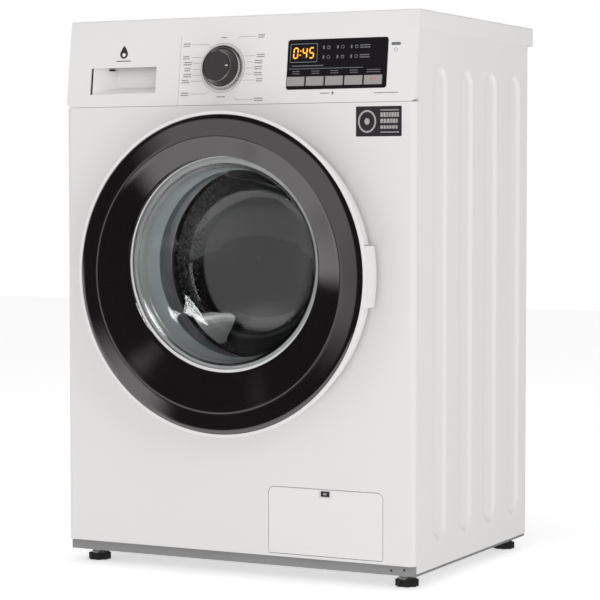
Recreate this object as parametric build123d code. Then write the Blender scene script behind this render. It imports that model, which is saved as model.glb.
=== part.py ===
from build123d import *
import math
import os

# Front load washing machine.
# Model frame: X to the right, Y to the back with 0 at the front panel's outer face, Z up from the floor.
# Each sub-part is shifted when it is written, so that the origin is the middle of the footprint.

# Cabinet
WIDTH = 597.0
HEIGHT = 850.0
DEPTH = 450.0
SHEET = 1.0
CORNER_RADIUS = 9.0
SIDE_BOTTOM = 24.0
FRONT_BOTTOM = 36.0
WRAP_DEPTH = 10.5
SEAM = 0.5
FIT_GAP = 0.3
HALF = WIDTH / 2

# Pressed ribs in the side sheets
RIB_COUNT = 4
RIB_PITCH = 99.5
RIB_WIDTH = 50.0
RIB_DEPTH = 4.0
RIB_DRAFT = 62.0
RIB_FIRST_Y = 94.0
RIB_BOTTOM = 62.0
RIB_END_DROP = 51.0

# Worktop
WORKTOP_THICK = 29.0
WORKTOP_OVERHANG = 24.0
WORKTOP_LEAN = 5.0
WORKTOP_BOTTOM = HEIGHT - WORKTOP_THICK
WORKTOP_ROUND = 3.0
WORKTOP_RECESS = 14.0
WORKTOP_RIM = 28.0
RIB_TOP = WORKTOP_BOTTOM - RIB_END_DROP

# Fascia, a plane that leans back
FASCIA_HEIGHT = 105.5
FASCIA_FRONT = 0.5
FASCIA_LEAN = 13.0
FASCIA_WALL = 2.5
FASCIA_RETURN = 10.0
FASCIA_BOTTOM = WORKTOP_BOTTOM - FASCIA_HEIGHT
FASCIA_TILT = math.atan2(FASCIA_LEAN, FASCIA_HEIGHT)
FASCIA_PLANE = Plane(
    origin=(0, FASCIA_FRONT, FASCIA_BOTTOM),
    x_dir=(1, 0, 0),
    z_dir=(0, -math.cos(FASCIA_TILT), math.sin(FASCIA_TILT)),
)

# Door ring, window and glass bowl
RING_Z = 460.5
WINDOW_Z = 475.0
RING_EDGE = (239.0, -49.5)
RING_SHOULDER = (236.0, -53.0)
RING_CREST = (207.0, -59.0)
WINDOW_EDGE = (162.0, -35.0)
COVER_WALL = 3.0
RIM_WALL = 2.5
SEAT_GAP = 0.2
LIP_RADIUS = 244.0
LIP_BACK = -45.0
WAIST_RADIUS = 232.0
WAIST_WALL = 3.0
DOOR_BACK = -5.0
FRAME_WALL = 3.0
GLASS_FLANGE = 163.0
GLASS_WALL = 4.0
GLASS_NECK = 151.0
GLASS_MID = (143.0, 24.0)
GLASS_TOE = (125.0, 75.0)
GLASS_END = 88.0
GLASS_END_RADIUS = 100.0

# Front panel openings
OPENING_RADIUS = 160.0
COLLAR_DEPTH = 14.0
FLAP_LEFT = 59.0
FLAP_RIGHT = 248.0
FLAP_BOTTOM = 41.0
FLAP_TOP = 141.0
FLAP_CORNER = 9.0
FLAP_FOOT_CORNER = 2.5
FLAP_THICK = 2.5
FLAP_GAP = 0.8
FLAP_PIN = 1.2
FLAP_AXIS = (3.0, 46.0)
PIN_CLEARANCE = 0.05
EAR_WIDTH = 6.0

# Door hinge (vertical axis) and its arms
HINGE_X = -216.0
HINGE_Y = -36.0
HINGE_PIN = 4.0
HINGE_BOSS = 7.0
HINGE_LEAF_HALF = 23.7
HINGE_ARM_THICK = 5.0
HINGE_PLATE_LEFT = -200.0
HINGE_PLATE_RIGHT = -172.0
HINGE_PLATE_THICK = 3.0
HINGE_NOTCH_RADIUS = 44.0
HINGE_LEG = 26.0

# Handle and latch
HANDLE_HALF = 45.0
HANDLE_AXIS = (214.0, -24.0)
HANDLE_OUTER = 241.0
HANDLE_FRONT = -38.0
HANDLE_BACK = -7.0
HOOK_AXIS = (197.0, -22.0)
HOOK_HALF = 8.0
HOOK_REACH = 12.0
LATCH_PIN = 2.5
LATCH_BARREL = 5.5
LOCK_HALF_WIDTH = 20.0
LOCK_HALF_HEIGHT = 26.0
LOCK_DEPTH = 24.0
LOCK_MOUTH_HALF = 13.0

# Drum, tub and gasket, all on one axis
DRUM_RADIUS = 236.0
DRUM_GAP = 14.0
DRUM_SHEET = 1.0
DRUM_FRONT = 78.0
DRUM_BACK = 325.0
DRUM_MOUTH = 152.0
DRUM_BACK_THICK = 1.5
LIFTER_COUNT = 3
LIFTER_HEIGHT = 48.0
LIFTER_FOOT = 32.0
LIFTER_MARGIN = 14.0
LIFTER_TURN = 118.0
TUB_RADIUS = DRUM_RADIUS + DRUM_GAP
TUB_WALL = 3.0
TUB_FRONT = 66.0
TUB_SPLIT = 200.0
TUB_BACK = 350.0
TUB_FLANGE = TUB_RADIUS + 8
TUB_FLANGE_HALF = 5.0
TUB_NECK = 150.0
TUB_NECK_FRONT = 48.0
HEATER_HALF = 36.0
HEATER_ROD = 3.5
GASKET_WALL = 3.5
GASKET_FRONT = -4.7
GASKET_LIP = 146.0
GASKET_LIP_Y = 24.0
GASKET_INNER_RADIUS = 148.0

# Drum carrier, shaft, bearings and pulleys
SHAFT_RADIUS = 12.5
SHAFT_END = 412.0
SPIDER_THICK = 14.0
SPIDER_HUB = 34.0
HUB_RADIUS = 42.0
HUB_BACK = 386.0
BEARING_OUTER = 31.0
BEARING_WIDTH = 14.0
PULLEY_RADIUS = 140.0
PULLEY_FRONT = 392.0
PULLEY_WIDTH = 12.0
PULLEY_RIM = 8.0
PULLEY_SPOKES = 6
MOTOR_PULLEY_RADIUS = 12.0
BELT_THICK = 3.0
MOTOR_X = -20.0
MOTOR_Z = 148.0
MOTOR_RADIUS = 62.0
MOTOR_FRONT = 215.0
MOTOR_BACK = 372.0
MOTOR_SHAFT = 7.0

# Suspension
DAMPER_X = 170.0
DAMPER_Y = 240.0
DAMPER_RADIUS = 17.0
DAMPER_WALL = 3.5
DAMPER_TOP = 170.0
DAMPER_ROD = 6.0
DAMPER_LUG_Z = WINDOW_Z - 213
PISTON_BOTTOM = 80.0
PISTON_HEIGHT = 14.0
SPRING_X = DRUM_RADIUS
SPRING_Y = 285.0
SPRING_COIL = 11.0
SPRING_WIRE = 2.2
SPRING_BOTTOM = WINDOW_Z + 129
SPRING_BODY = (WINDOW_Z + 165, WORKTOP_BOTTOM - 53)
RAIL_WIDTH = 30.0
RAIL_DEPTH = 15.0
RAIL_SHEET = 1.5
RAIL_Y = (285.0, DEPTH - 35)

# Counterweights
FRONT_WEIGHT_DEPTH = 30.0
FRONT_WEIGHT_INNER = 172.0
FRONT_WEIGHT_OUTER = DRUM_RADIUS
FRONT_WEIGHT_TOP = 440.0
TOP_WEIGHT = (-88.0, 150.0, 82.0, 262.0, 301.0)

# Detergent drawer and its housing
DRAWER_RIGHT = -HALF + 200.5
HOUSING_LEFT = -HALF + 30.5
HOUSING_RIGHT = DRAWER_RIGHT - 6
HOUSING_FRONT = 18.0
HOUSING_BACK = 246.0
HOUSING_BOTTOM = FASCIA_BOTTOM + 6.5
HOUSING_TOP = WORKTOP_BOTTOM - 9
HOUSING_WALL = 2.0
TRAY_WALL = 1.8
TRAY_HEIGHT = 62.0
TRAY_FRONT = 38.0
TRAY_BACK = 238.0
GRIP_LEFT = -HALF + 41.5
GRIP_RIGHT = DRAWER_RIGHT - 41
GRIP_BOTTOM = FASCIA_BOTTOM + 19.5
GRIP_TOP = FASCIA_BOTTOM + 60.5
GRIP_DEPTH = 20.0
GRIP_BACK_LEFT = GRIP_LEFT + 38
GRIP_BACK_BOTTOM = GRIP_BOTTOM + 10
GRIP_WALL = 2.0
GRIP_HOLLOW_TOP = GRIP_TOP + 12
GRIP_HOLLOW_LEFT = GRIP_LEFT + 25

# Controls on the fascia
DIAL_X = -22.8
DIAL_Z = FASCIA_BOTTOM + 55.8
DIAL_SKIRT = 34.5
DIAL_FOOT = 29.5
DIAL_FACE = 23.0
DIAL_HEIGHT = 21.5
DIAL_SHAFT = 3.0
LENS_LEFT = HALF - 211.5
LENS_RIGHT = HALF - 47.5
LENS_BOTTOM = FASCIA_BOTTOM + 20.5
LENS_TOP = WORKTOP_BOTTOM - 11
LENS_CORNER = 4.0
LENS_THICK = 2.5
LENS_PROUD = 0.3
BUTTON_COUNT = 5
BUTTON_WIDTH = 29.4
BUTTON_HEIGHT = 14.0
BUTTON_FIRST_X = LENS_LEFT + 15.7
BUTTON_PITCH = BUTTON_WIDTH + 2.3
BUTTON_Z = LENS_BOTTOM + 12
BUTTON_PROUD = 1.4
BUTTON_TRAVEL = 2.0
BUTTON_CAP = 5.0
BUTTON_STEM = 2.5
BOARD_LEFT = -64.0
BOARD_RIGHT = HALF - 30.5
BOARD_FRONT = -12.0
BOARD_THICK = 10.0
BOARD_HALF_HEIGHT = 36.0

# Water path and pump
PUMP_X = 180.0
PUMP_Z = 85.0
PUMP_RADIUS = 36.0
PUMP_FRONT = 44.0
PUMP_BACK = 150.0
FILTER_RADIUS = 29.0
FILTER_FRONT = 16.0
FILTER_CORE = 20.0
SUMP_X = 128.0
SUMP_Y = 118.0
SUMP_RADIUS = 14.0
SPOUT_HEIGHT = 12.5
HOSE_WALL = 3.0
DRAIN_RADIUS = 10.0
DRAIN_WALL = 2.5
DRAIN_X = HALF - 26.5
DRAIN_Y = 150.0
DRAIN_TOP = WORKTOP_BOTTOM - 51
DRAIN_END = DEPTH + 18
DRAIN_BEAD = 3.0
VALVE_X = -HALF + 112.5
VALVE_Z = WORKTOP_BOTTOM - 41
VALVE_STUB = 13.2
VALVE_BORE = 8.0
VALVE_END = DEPTH + 14
VALVE_COLLAR = 16.0
VALVE_GROOVE = 12.0
VALVE_HALF = 20.0
VALVE_FRONT = DEPTH - 48
FILL_RADIUS = 8.0
DISPENSER_HOSE_X = HOUSING_LEFT + 136
DISPENSER_HOSE_Y = 120.0

# Rear of the cabinet
BACK_WINDOW_X = HALF - 48.5
BACK_WINDOW_BOTTOM = 70.0
BACK_WINDOW_TOP = WORKTOP_BOTTOM - 81
BACK_LAP = 14.0
GLAND_X = HALF - 73.5
GLAND_Z = WORKTOP_BOTTOM - 36
GLAND_RADIUS = 9.0
SCREW_RADIUS = 2.0
SCREW_HEAD = 5.0

# Base and feet
BASE_BOTTOM = 20.0
BASE_SHEET = 1.5
BASE_SETBACK = 9.5
BASE_EDGE = 15.0
FOOT_X = HALF - 30.5
FOOT_FRONT_Y = 44.0
FOOT_BACK_Y = DEPTH - 18
FOOT_PAD = 17.5
FOOT_PAD_HEIGHT = 10.0
FOOT_STEM = 5.0
FOOT_TOP = 46.0
FOOT_LOBES = 8

MODEL_BACK = DEPTH + WORKTOP_OVERHANG
FOOTPRINT_MIDDLE = (MODEL_BACK + RING_CREST[1]) / 2


def block(x0, x1, y0, y1, z0, z1):
    """A box between two corners."""
    middle = Pos((x0 + x1) / 2, (y0 + y1) / 2, (z0 + z1) / 2)
    return middle * Box(x1 - x0, y1 - y0, z1 - z0)


def rod_x(y, z, radius, x0, x1):
    """A round bar along X."""
    return Pos((x0 + x1) / 2, y, z) * Rot(0, 90, 0) * Cylinder(radius, x1 - x0)


def rod_y(x, z, radius, y0, y1):
    """A round bar along Y."""
    return Pos(x, (y0 + y1) / 2, z) * Rot(90, 0, 0) * Cylinder(radius, y1 - y0)


def rod_z(x, y, radius, z0, z1):
    """A round bar along Z."""
    return Pos(x, y, (z0 + z1) / 2) * Cylinder(radius, z1 - z0)


def ring_y(x, z, outer, inner, y0, y1):
    """A round ring whose axis runs along Y."""
    return rod_y(x, z, outer, y0, y1) - rod_y(x, z, inner, y0 - 1, y1 + 1)


def turned(points, x, z):
    """A solid of revolution about a line along Y, from (radius, y) points."""
    outline = make_face(Polyline(*points, close=True).edges())
    return Pos(x, 0, z) * revolve(outline, Axis.Y)


def prism_x(points, x0, x1):
    """A straight prism along X, from (y, z) points."""
    outline = make_face(Polyline(*points, close=True).edges())
    return extrude(Plane(origin=(x0, 0, 0), x_dir=(0, 1, 0), z_dir=(1, 0, 0)) * outline, x1 - x0)


def prism_z(points, z0, z1):
    """A straight prism along Z, from (x, y) points."""
    outline = make_face(Polyline(*points, close=True).edges())
    return extrude(Pos(0, 0, z0) * outline, z1 - z0)


def fascia_y(z):
    """Where the fascia's outer face stands at a height."""
    return FASCIA_FRONT + (z - FASCIA_BOTTOM) * math.tan(FASCIA_TILT)


def on_fascia(x, z, out):
    """A place on the fascia's plane, moved outwards along its normal."""
    return FASCIA_PLANE * Pos(x, (z - FASCIA_BOTTOM) / math.cos(FASCIA_TILT), out)


def fascia_box(x0, x1, z0, z1, back, front):
    """A box square to the fascia, between two distances along its normal."""
    height = (z1 - z0) / math.cos(FASCIA_TILT)
    return on_fascia((x0 + x1) / 2, (z0 + z1) / 2, (back + front) / 2) * Box(x1 - x0, height, front - back)


def fascia_rod(x, z, radius, back, front):
    """A round bar along the fascia's normal."""
    return on_fascia(x, z, (back + front) / 2) * Cylinder(radius, front - back)


def fascia_prism(x0, x1, front, back, bottom, top):
    """The leaning block behind the fascia's face, from front to back set back along Y."""
    return prism_x(
        [
            (fascia_y(bottom) + front, bottom),
            (fascia_y(top) + front, top),
            (fascia_y(top) + back, top),
            (fascia_y(bottom) + back, bottom),
        ],
        x0,
        x1,
    )


def pressed_rib(side, y):
    """The bulge inside and the hollow outside of one rib pressed into a side sheet."""
    height = RIB_TOP - RIB_BOTTOM
    plane = Plane(
        origin=(side * HALF, y, (RIB_TOP + RIB_BOTTOM) / 2),
        x_dir=(0, 0, 1),
        z_dir=(-side, 0, 0),
    )
    hollow = extrude(plane * SlotOverall(height, RIB_WIDTH), RIB_DEPTH, taper=RIB_DRAFT)
    bulge = extrude(plane * SlotOverall(height + SHEET, RIB_WIDTH + SHEET), RIB_DEPTH + SHEET, taper=RIB_DRAFT)
    return bulge, hollow



def screw_places():
    """The (x, z) places of the screws round the rear panel."""
    across = BACK_WINDOW_X + BACK_LAP / 2
    top = BACK_WINDOW_TOP + BACK_LAP / 2
    bottom = BACK_WINDOW_BOTTOM - BACK_LAP / 2
    middle = (top + bottom) / 2
    return [(x, z) for x in (-across, 0, across) for z in (bottom, middle, top) if (x, z) != (0, middle)]


def foot_places():
    """The four feet, by name."""
    return {
        "foot_front_left": (-FOOT_X, FOOT_FRONT_Y),
        "foot_front_right": (FOOT_X, FOOT_FRONT_Y),
        "foot_back_left": (-FOOT_X, FOOT_BACK_Y),
        "foot_back_right": (FOOT_X, FOOT_BACK_Y),
    }


def side_sheet(side):
    """One side sheet with its pressed ribs and the lap behind the front panel's edge."""
    front = WRAP_DEPTH + SEAM
    inner, outer = sorted((side * (HALF - SHEET), side * HALF))
    sheet = block(inner, outer, front, DEPTH, SIDE_BOTTOM, WORKTOP_BOTTOM)
    lap, edge = sorted((side * (HALF - 2 * CORNER_RADIUS), side * HALF))
    sheet += block(lap, edge, front, front + SHEET, FRONT_BOTTOM, FASCIA_BOTTOM - SEAM)
    for index in range(RIB_COUNT):
        bulge, hollow = pressed_rib(side, RIB_FIRST_Y + index * RIB_PITCH)
        sheet = sheet + bulge - hollow
    fascia_zone = fascia_prism(-HALF - 1, HALF + 1, -CORNER_RADIUS, FASCIA_RETURN + SEAM,
                               FASCIA_BOTTOM - SEAM, WORKTOP_BOTTOM)
    return sheet - fascia_zone


def side_left():
    """Left side sheet."""
    return side_sheet(-1)


def side_right():
    """Right side sheet."""
    return side_sheet(1)


def inner_frame():
    """Frame round the back opening, pierced for valve, hose, lead and screws, and two rails at the top."""
    back = DEPTH - SHEET
    width = HALF - SHEET
    frame = block(-width, width, back - SHEET, back, SIDE_BOTTOM, WORKTOP_BOTTOM)
    frame -= block(-BACK_WINDOW_X, BACK_WINDOW_X, 0, DEPTH, BACK_WINDOW_BOTTOM, BACK_WINDOW_TOP)
    for x, z in screw_places():
        frame -= rod_y(x, z, SCREW_RADIUS + FIT_GAP, 0, DEPTH)
    frame -= rod_y(VALVE_X, VALVE_Z, VALVE_COLLAR + FIT_GAP, 0, DEPTH)
    frame -= rod_y(DRAIN_X, DRAIN_TOP, DRAIN_RADIUS + FIT_GAP, 0, DEPTH)
    frame -= rod_y(GLAND_X, GLAND_Z, GLAND_RADIUS + FIT_GAP, 0, DEPTH)
    pieces = [frame]
    for y in RAIL_Y:
        half = RAIL_WIDTH / 2
        rail = block(-width, width, y - half, y + half, WORKTOP_BOTTOM - RAIL_DEPTH, WORKTOP_BOTTOM)
        rail -= block(-width - 1, width + 1, y - half + RAIL_SHEET, y + half - RAIL_SHEET,
                      WORKTOP_BOTTOM - RAIL_DEPTH + RAIL_SHEET, HEIGHT)
        pieces.append(rail)
    return Compound(children=pieces)


def rear_panel():
    """Sheet that closes the back, screwed over the opening, with a pressed round dish."""
    lap = BACK_LAP
    panel = block(-BACK_WINDOW_X - lap, BACK_WINDOW_X + lap, DEPTH - SHEET, DEPTH,
                  BACK_WINDOW_BOTTOM - lap, BACK_WINDOW_TOP + lap)
    dish = Plane(origin=(0, DEPTH, WINDOW_Z), x_dir=(1, 0, 0), z_dir=(0, -1, 0))
    panel += extrude(dish * Circle(PULLEY_RADIUS + RIB_WIDTH + SHEET), RIB_DEPTH + SHEET, taper=RIB_DRAFT)
    panel -= extrude(dish * Circle(PULLEY_RADIUS + RIB_WIDTH), RIB_DEPTH, taper=RIB_DRAFT)
    for x, z in screw_places():
        panel -= rod_y(x, z, SCREW_RADIUS + FIT_GAP, 0, DEPTH + 1)
    return panel


def base_pan():
    """Floor pan with turned-up edges, holes for the feet and pads for the dampers."""
    edge = HALF - SHEET
    back = DEPTH - 2 * SHEET
    pan = block(-edge, edge, BASE_SETBACK, back, BASE_BOTTOM, BASE_BOTTOM + BASE_EDGE)
    pan -= block(-edge + BASE_SHEET, edge - BASE_SHEET, BASE_SETBACK + BASE_SHEET, back - BASE_SHEET,
                 BASE_BOTTOM + BASE_SHEET, HEIGHT)
    for x, y in foot_places().values():
        pan += rod_z(x, y, 2 * FOOT_STEM, BASE_BOTTOM, BASE_BOTTOM + BASE_EDGE)
        pan -= rod_z(x, y, FOOT_STEM + PIN_CLEARANCE, 0, FOOT_TOP)
    return pan


def foot(x, y):
    """Screw foot: lobed pad, hex collar and a stem that stands in the base pan."""
    collar_top = BASE_BOTTOM - 2 * FIT_GAP
    collar = FOOT_PAD_HEIGHT + (collar_top - FOOT_PAD_HEIGHT) / 3
    pad = Cylinder(FOOT_PAD, FOOT_PAD_HEIGHT)
    for place in PolarLocations(FOOT_PAD + FOOT_STEM / 2, FOOT_LOBES):
        pad -= place * Cylinder(FOOT_STEM, FOOT_PAD_HEIGHT + 1)
    body = Pos(x, y, FOOT_PAD_HEIGHT / 2) * pad
    body += rod_z(x, y, FOOT_PAD * 0.7, FOOT_PAD_HEIGHT, collar)
    hexagon = RegularPolygon(FOOT_STEM * 1.9, 6)
    body += extrude(Pos(x, y, collar) * hexagon, collar_top - collar)
    return body + rod_z(x, y, FOOT_STEM, collar, FOOT_TOP)


def front_skin(z0, z1):
    """Flat front sheet that wraps round both vertical corners."""
    outer = block(-HALF, HALF, 0, WRAP_DEPTH, z0, z1)
    outer = fillet(outer.edges().filter_by(Axis.Z).group_by(Axis.Y)[0], CORNER_RADIUS)
    inner = block(-HALF + SHEET, HALF - SHEET, SHEET, WRAP_DEPTH + 1, z0 - 1, z1 + 1)
    inner = fillet(inner.edges().filter_by(Axis.Z).group_by(Axis.Y)[0], CORNER_RADIUS - SHEET)
    return outer - inner


def flap_outline(grow):
    """The service flap's rounded rectangle, grown by a gap, as a face in the XZ plane."""
    middle_x = (FLAP_LEFT + FLAP_RIGHT) / 2
    middle_z = (FLAP_BOTTOM + FLAP_TOP) / 2
    plane = Plane(origin=(middle_x, 0, middle_z), x_dir=(1, 0, 0), z_dir=(0, -1, 0))
    width = FLAP_RIGHT - FLAP_LEFT + 2 * grow
    height = FLAP_TOP - FLAP_BOTTOM + 2 * grow
    outline = Rectangle(width, height)
    outline = fillet(outline.vertices().group_by(Axis.Y)[-1], FLAP_CORNER + grow)
    return plane * fillet(outline.vertices().group_by(Axis.Y)[0], FLAP_FOOT_CORNER + grow)


def front_panel():
    """Front sheet with the door opening and its collar, the flap opening, its ears and the latch slot."""
    panel = front_skin(FRONT_BOTTOM, FASCIA_BOTTOM - SEAM)
    panel += rod_y(0, WINDOW_Z, OPENING_RADIUS + SHEET, 0, COLLAR_DEPTH)
    panel -= rod_y(0, WINDOW_Z, OPENING_RADIUS, -1, COLLAR_DEPTH + 1)
    panel -= extrude(flap_outline(FLAP_GAP), 3 * SHEET, both=True)
    axis_y, axis_z = FLAP_AXIS
    half = EAR_WIDTH - SHEET
    for near, far in ((FLAP_LEFT - 2 * EAR_WIDTH, FLAP_LEFT - FLAP_GAP - SHEET),
                      (FLAP_RIGHT + FLAP_GAP + SHEET, FLAP_RIGHT + 2 * EAR_WIDTH)):
        panel += block(near, far, 0.5 * SHEET, axis_y + half, axis_z - half, axis_z + half)
    panel -= rod_x(axis_y, axis_z, FLAP_PIN + PIN_CLEARANCE, FLAP_LEFT - EAR_WIDTH - 4, FLAP_RIGHT + EAR_WIDTH + 4)
    hook_x = HOOK_AXIS[0]
    panel -= block(hook_x - LOCK_MOUTH_HALF, hook_x + LOCK_MOUTH_HALF, -1, 2 * SHEET,
                   RING_Z - LOCK_MOUTH_HALF, RING_Z + LOCK_MOUTH_HALF)
    return panel


def service_flap():
    """Moulded flap over the pump filter, with a finger notch and two hinge pins."""
    flap = extrude(flap_outline(0), -FLAP_THICK)
    middle = (FLAP_LEFT + FLAP_RIGHT) / 2
    notch_half = 10.0
    flap -= block(middle - notch_half, middle + notch_half, -1, FLAP_THICK / 2, FLAP_TOP - 12, FLAP_TOP + 1)
    axis_y, axis_z = FLAP_AXIS
    knuckle = 2.4
    for edge, direction in ((FLAP_LEFT, -1), (FLAP_RIGHT, 1)):
        inner, outer = sorted((edge - direction * EAR_WIDTH * 2, edge - direction * EAR_WIDTH))
        flap += block(inner, outer, FLAP_THICK / 2, axis_y + knuckle, axis_z - knuckle, axis_z + knuckle)
        inner, outer = sorted((edge - direction * EAR_WIDTH * 2, edge + direction * (EAR_WIDTH + 2)))
        flap += rod_x(axis_y, axis_z, FLAP_PIN, inner, outer)
    return flap


def worktop():
    """Top board that leans back at the front and overhangs the back."""
    front = fascia_y(WORKTOP_BOTTOM)
    board = prism_x([(front, WORKTOP_BOTTOM), (MODEL_BACK, WORKTOP_BOTTOM), (MODEL_BACK, HEIGHT),
                     (front + WORKTOP_LEAN, HEIGHT)], -HALF, HALF)
    board = fillet(board.edges().group_by(Axis.Z)[-1], WORKTOP_ROUND)
    rim = WORKTOP_RIM
    return board - block(-HALF + rim, HALF - rim, front + rim, DEPTH - rim, 0, WORKTOP_BOTTOM + WORKTOP_RECESS)


def fascia_moulding(x0, x1, wrap_left, wrap_right):
    """A length of fascia: sloped face, top and bottom returns, and a side return round each end."""
    outer = fascia_prism(x0, x1, 0, FASCIA_RETURN, FASCIA_BOTTOM, WORKTOP_BOTTOM)
    front_edges = outer.faces().sort_by(Axis.Y)[0].edges()
    corners = []
    if wrap_left:
        corners.append(front_edges.sort_by(Axis.X)[0])
    if wrap_right:
        corners.append(front_edges.sort_by(Axis.X)[-1])
    outer = fillet(corners, CORNER_RADIUS)
    return outer - fascia_prism(x0 + FASCIA_WALL, x1 - FASCIA_WALL, FASCIA_WALL, FASCIA_RETURN + 1,
                                FASCIA_BOTTOM + FASCIA_WALL, WORKTOP_BOTTOM - FASCIA_WALL)


def lens_outline(grow):
    """The display lens's rounded rectangle on the fascia's plane."""
    width = LENS_RIGHT - LENS_LEFT + 2 * grow
    height = (LENS_TOP - LENS_BOTTOM) / math.cos(FASCIA_TILT) + 2 * grow
    middle = on_fascia((LENS_LEFT + LENS_RIGHT) / 2, (LENS_BOTTOM + LENS_TOP) / 2, 0)
    return middle * RectangleRounded(width, height, LENS_CORNER + grow)


def control_panel():
    """Fascia moulding to the right of the drawer, open for the lens and the dial's shaft."""
    panel = fascia_moulding(DRAWER_RIGHT + SEAM, HALF, False, True)
    panel -= extrude(lens_outline(FIT_GAP), 2 * FASCIA_WALL, both=True)
    return panel - fascia_rod(DIAL_X, DIAL_Z, DIAL_SHAFT + FIT_GAP, -2 * FASCIA_WALL, FASCIA_WALL)


def button_x(index):
    """The middle of a push button."""
    return BUTTON_FIRST_X + index * BUTTON_PITCH


def display_lens():
    """Black window over the display, with a row of openings for the buttons."""
    lens = extrude(lens_outline(0), LENS_PROUD) + extrude(lens_outline(0), -LENS_THICK)
    for index in range(BUTTON_COUNT):
        half = BUTTON_WIDTH / 2 + FIT_GAP
        lens -= fascia_box(button_x(index) - half, button_x(index) + half,
                           BUTTON_Z - BUTTON_HEIGHT / 2 - FIT_GAP, BUTTON_Z + BUTTON_HEIGHT / 2 + FIT_GAP,
                           -2 * LENS_THICK, LENS_THICK)
    return lens


def push_button(index):
    """One button cap with the stem that reaches its switch."""
    half = BUTTON_WIDTH / 2
    cap = fascia_box(button_x(index) - half, button_x(index) + half, BUTTON_Z - BUTTON_HEIGHT / 2,
                     BUTTON_Z + BUTTON_HEIGHT / 2, BUTTON_PROUD - BUTTON_CAP, BUTTON_PROUD)
    face = cap.faces().sort_by(Axis.Y)[0]
    cap = fillet(face.edges(), BUTTON_PROUD / 2)
    stem_end = BOARD_FRONT + BUTTON_TRAVEL + FIT_GAP
    return cap + fascia_rod(button_x(index), BUTTON_Z, BUTTON_STEM, stem_end, BUTTON_PROUD - BUTTON_CAP)


def control_board():
    """Board and its carrier: a wall that backs the lens and a boss that holds the dial's shaft."""
    middle = (LENS_BOTTOM + LENS_TOP) / 2
    board = fascia_box(BOARD_LEFT, BOARD_RIGHT, middle - BOARD_HALF_HEIGHT, middle + BOARD_HALF_HEIGHT,
                       BOARD_FRONT - BOARD_THICK, BOARD_FRONT)
    wall = 2.0
    lap = 2 * FIT_GAP
    frame = fascia_box(LENS_LEFT - wall, LENS_RIGHT + wall, LENS_BOTTOM - wall, LENS_TOP - wall, BOARD_FRONT,
                       -LENS_THICK)
    frame -= fascia_box(LENS_LEFT + lap, LENS_RIGHT - lap, LENS_BOTTOM + lap, LENS_TOP - 2 * wall,
                        BOARD_FRONT - 1, 0)
    board += frame
    for x, z in ((BOARD_LEFT + 6, BUTTON_Z), (BOARD_RIGHT - 6, BUTTON_Z)):
        board += fascia_rod(x, z, DIAL_SHAFT, BOARD_FRONT, -FASCIA_WALL * math.cos(FASCIA_TILT))
    board += fascia_rod(DIAL_X, DIAL_Z, 3 * DIAL_SHAFT, BOARD_FRONT, BOARD_FRONT / 2)
    return board - fascia_rod(DIAL_X, DIAL_Z, DIAL_SHAFT + PIN_CLEARANCE, BOARD_FRONT - BOARD_THICK / 2, 0)


def program_dial():
    """Turning knob: notched skirt, conical body, flat face and shaft."""
    skirt_front = 5.0
    knob = fascia_rod(DIAL_X, DIAL_Z, DIAL_SKIRT, FIT_GAP, skirt_front)
    cone_height = DIAL_HEIGHT - skirt_front
    cone = Cone(DIAL_FOOT, DIAL_FACE, cone_height)
    knob += on_fascia(DIAL_X, DIAL_Z, skirt_front + cone_height / 2) * cone
    notch_count = 48
    ring = on_fascia(DIAL_X, DIAL_Z, (skirt_front + FIT_GAP) / 2)
    for place in PolarLocations(DIAL_SKIRT + 0.4, notch_count):
        knob -= ring * place * Cylinder(1.0, skirt_front)
    return knob + fascia_rod(DIAL_X, DIAL_Z, DIAL_SHAFT, BOARD_FRONT - BOARD_THICK / 4, FIT_GAP)


def fascia_loft(near, far, depth, grow):
    """A pocket that narrows from one upright rectangle behind the fascia to another further back."""
    faces = []
    for (x0, x1, z0, z1), y in ((near, 0), (far, depth)):
        middle_z = (z0 + z1) / 2
        plane = Plane(origin=((x0 + x1) / 2, fascia_y(middle_z) + y, middle_z), x_dir=(1, 0, 0),
                      z_dir=FASCIA_PLANE.z_dir)
        faces.append(plane * Rectangle(x1 - x0 + 2 * grow, z1 - z0 + 2 * grow))
    return loft(faces, ruled=True)


def drawer_front():
    """Drawer front that wraps the left corner, with the grip pocket and its finger hollow."""
    front = fascia_moulding(-HALF, DRAWER_RIGHT, True, False)
    near = (GRIP_LEFT, GRIP_RIGHT, GRIP_BOTTOM, GRIP_TOP)
    far = (GRIP_BACK_LEFT, GRIP_RIGHT, GRIP_BACK_BOTTOM, GRIP_TOP)
    front += fascia_loft(near, far, GRIP_DEPTH, GRIP_WALL) - fascia_prism(
        -HALF, 0, -GRIP_DEPTH, 0, FASCIA_BOTTOM, WORKTOP_BOTTOM)
    hollow_front = FASCIA_WALL
    hollow_back = GRIP_DEPTH - GRIP_WALL
    front += fascia_prism(GRIP_HOLLOW_LEFT - GRIP_WALL, GRIP_RIGHT + GRIP_WALL, hollow_front / 2,
                          hollow_back + GRIP_WALL, GRIP_TOP - 1, GRIP_HOLLOW_TOP + GRIP_WALL)
    front -= fascia_loft(near, far, hollow_back, 0)
    front -= fascia_prism(GRIP_LEFT, GRIP_RIGHT, -GRIP_DEPTH, FASCIA_WALL, GRIP_BOTTOM, GRIP_TOP)
    return front - fascia_prism(GRIP_HOLLOW_LEFT, GRIP_RIGHT, hollow_front, hollow_back,
                                GRIP_TOP - 2 * GRIP_WALL, GRIP_HOLLOW_TOP)


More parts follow.
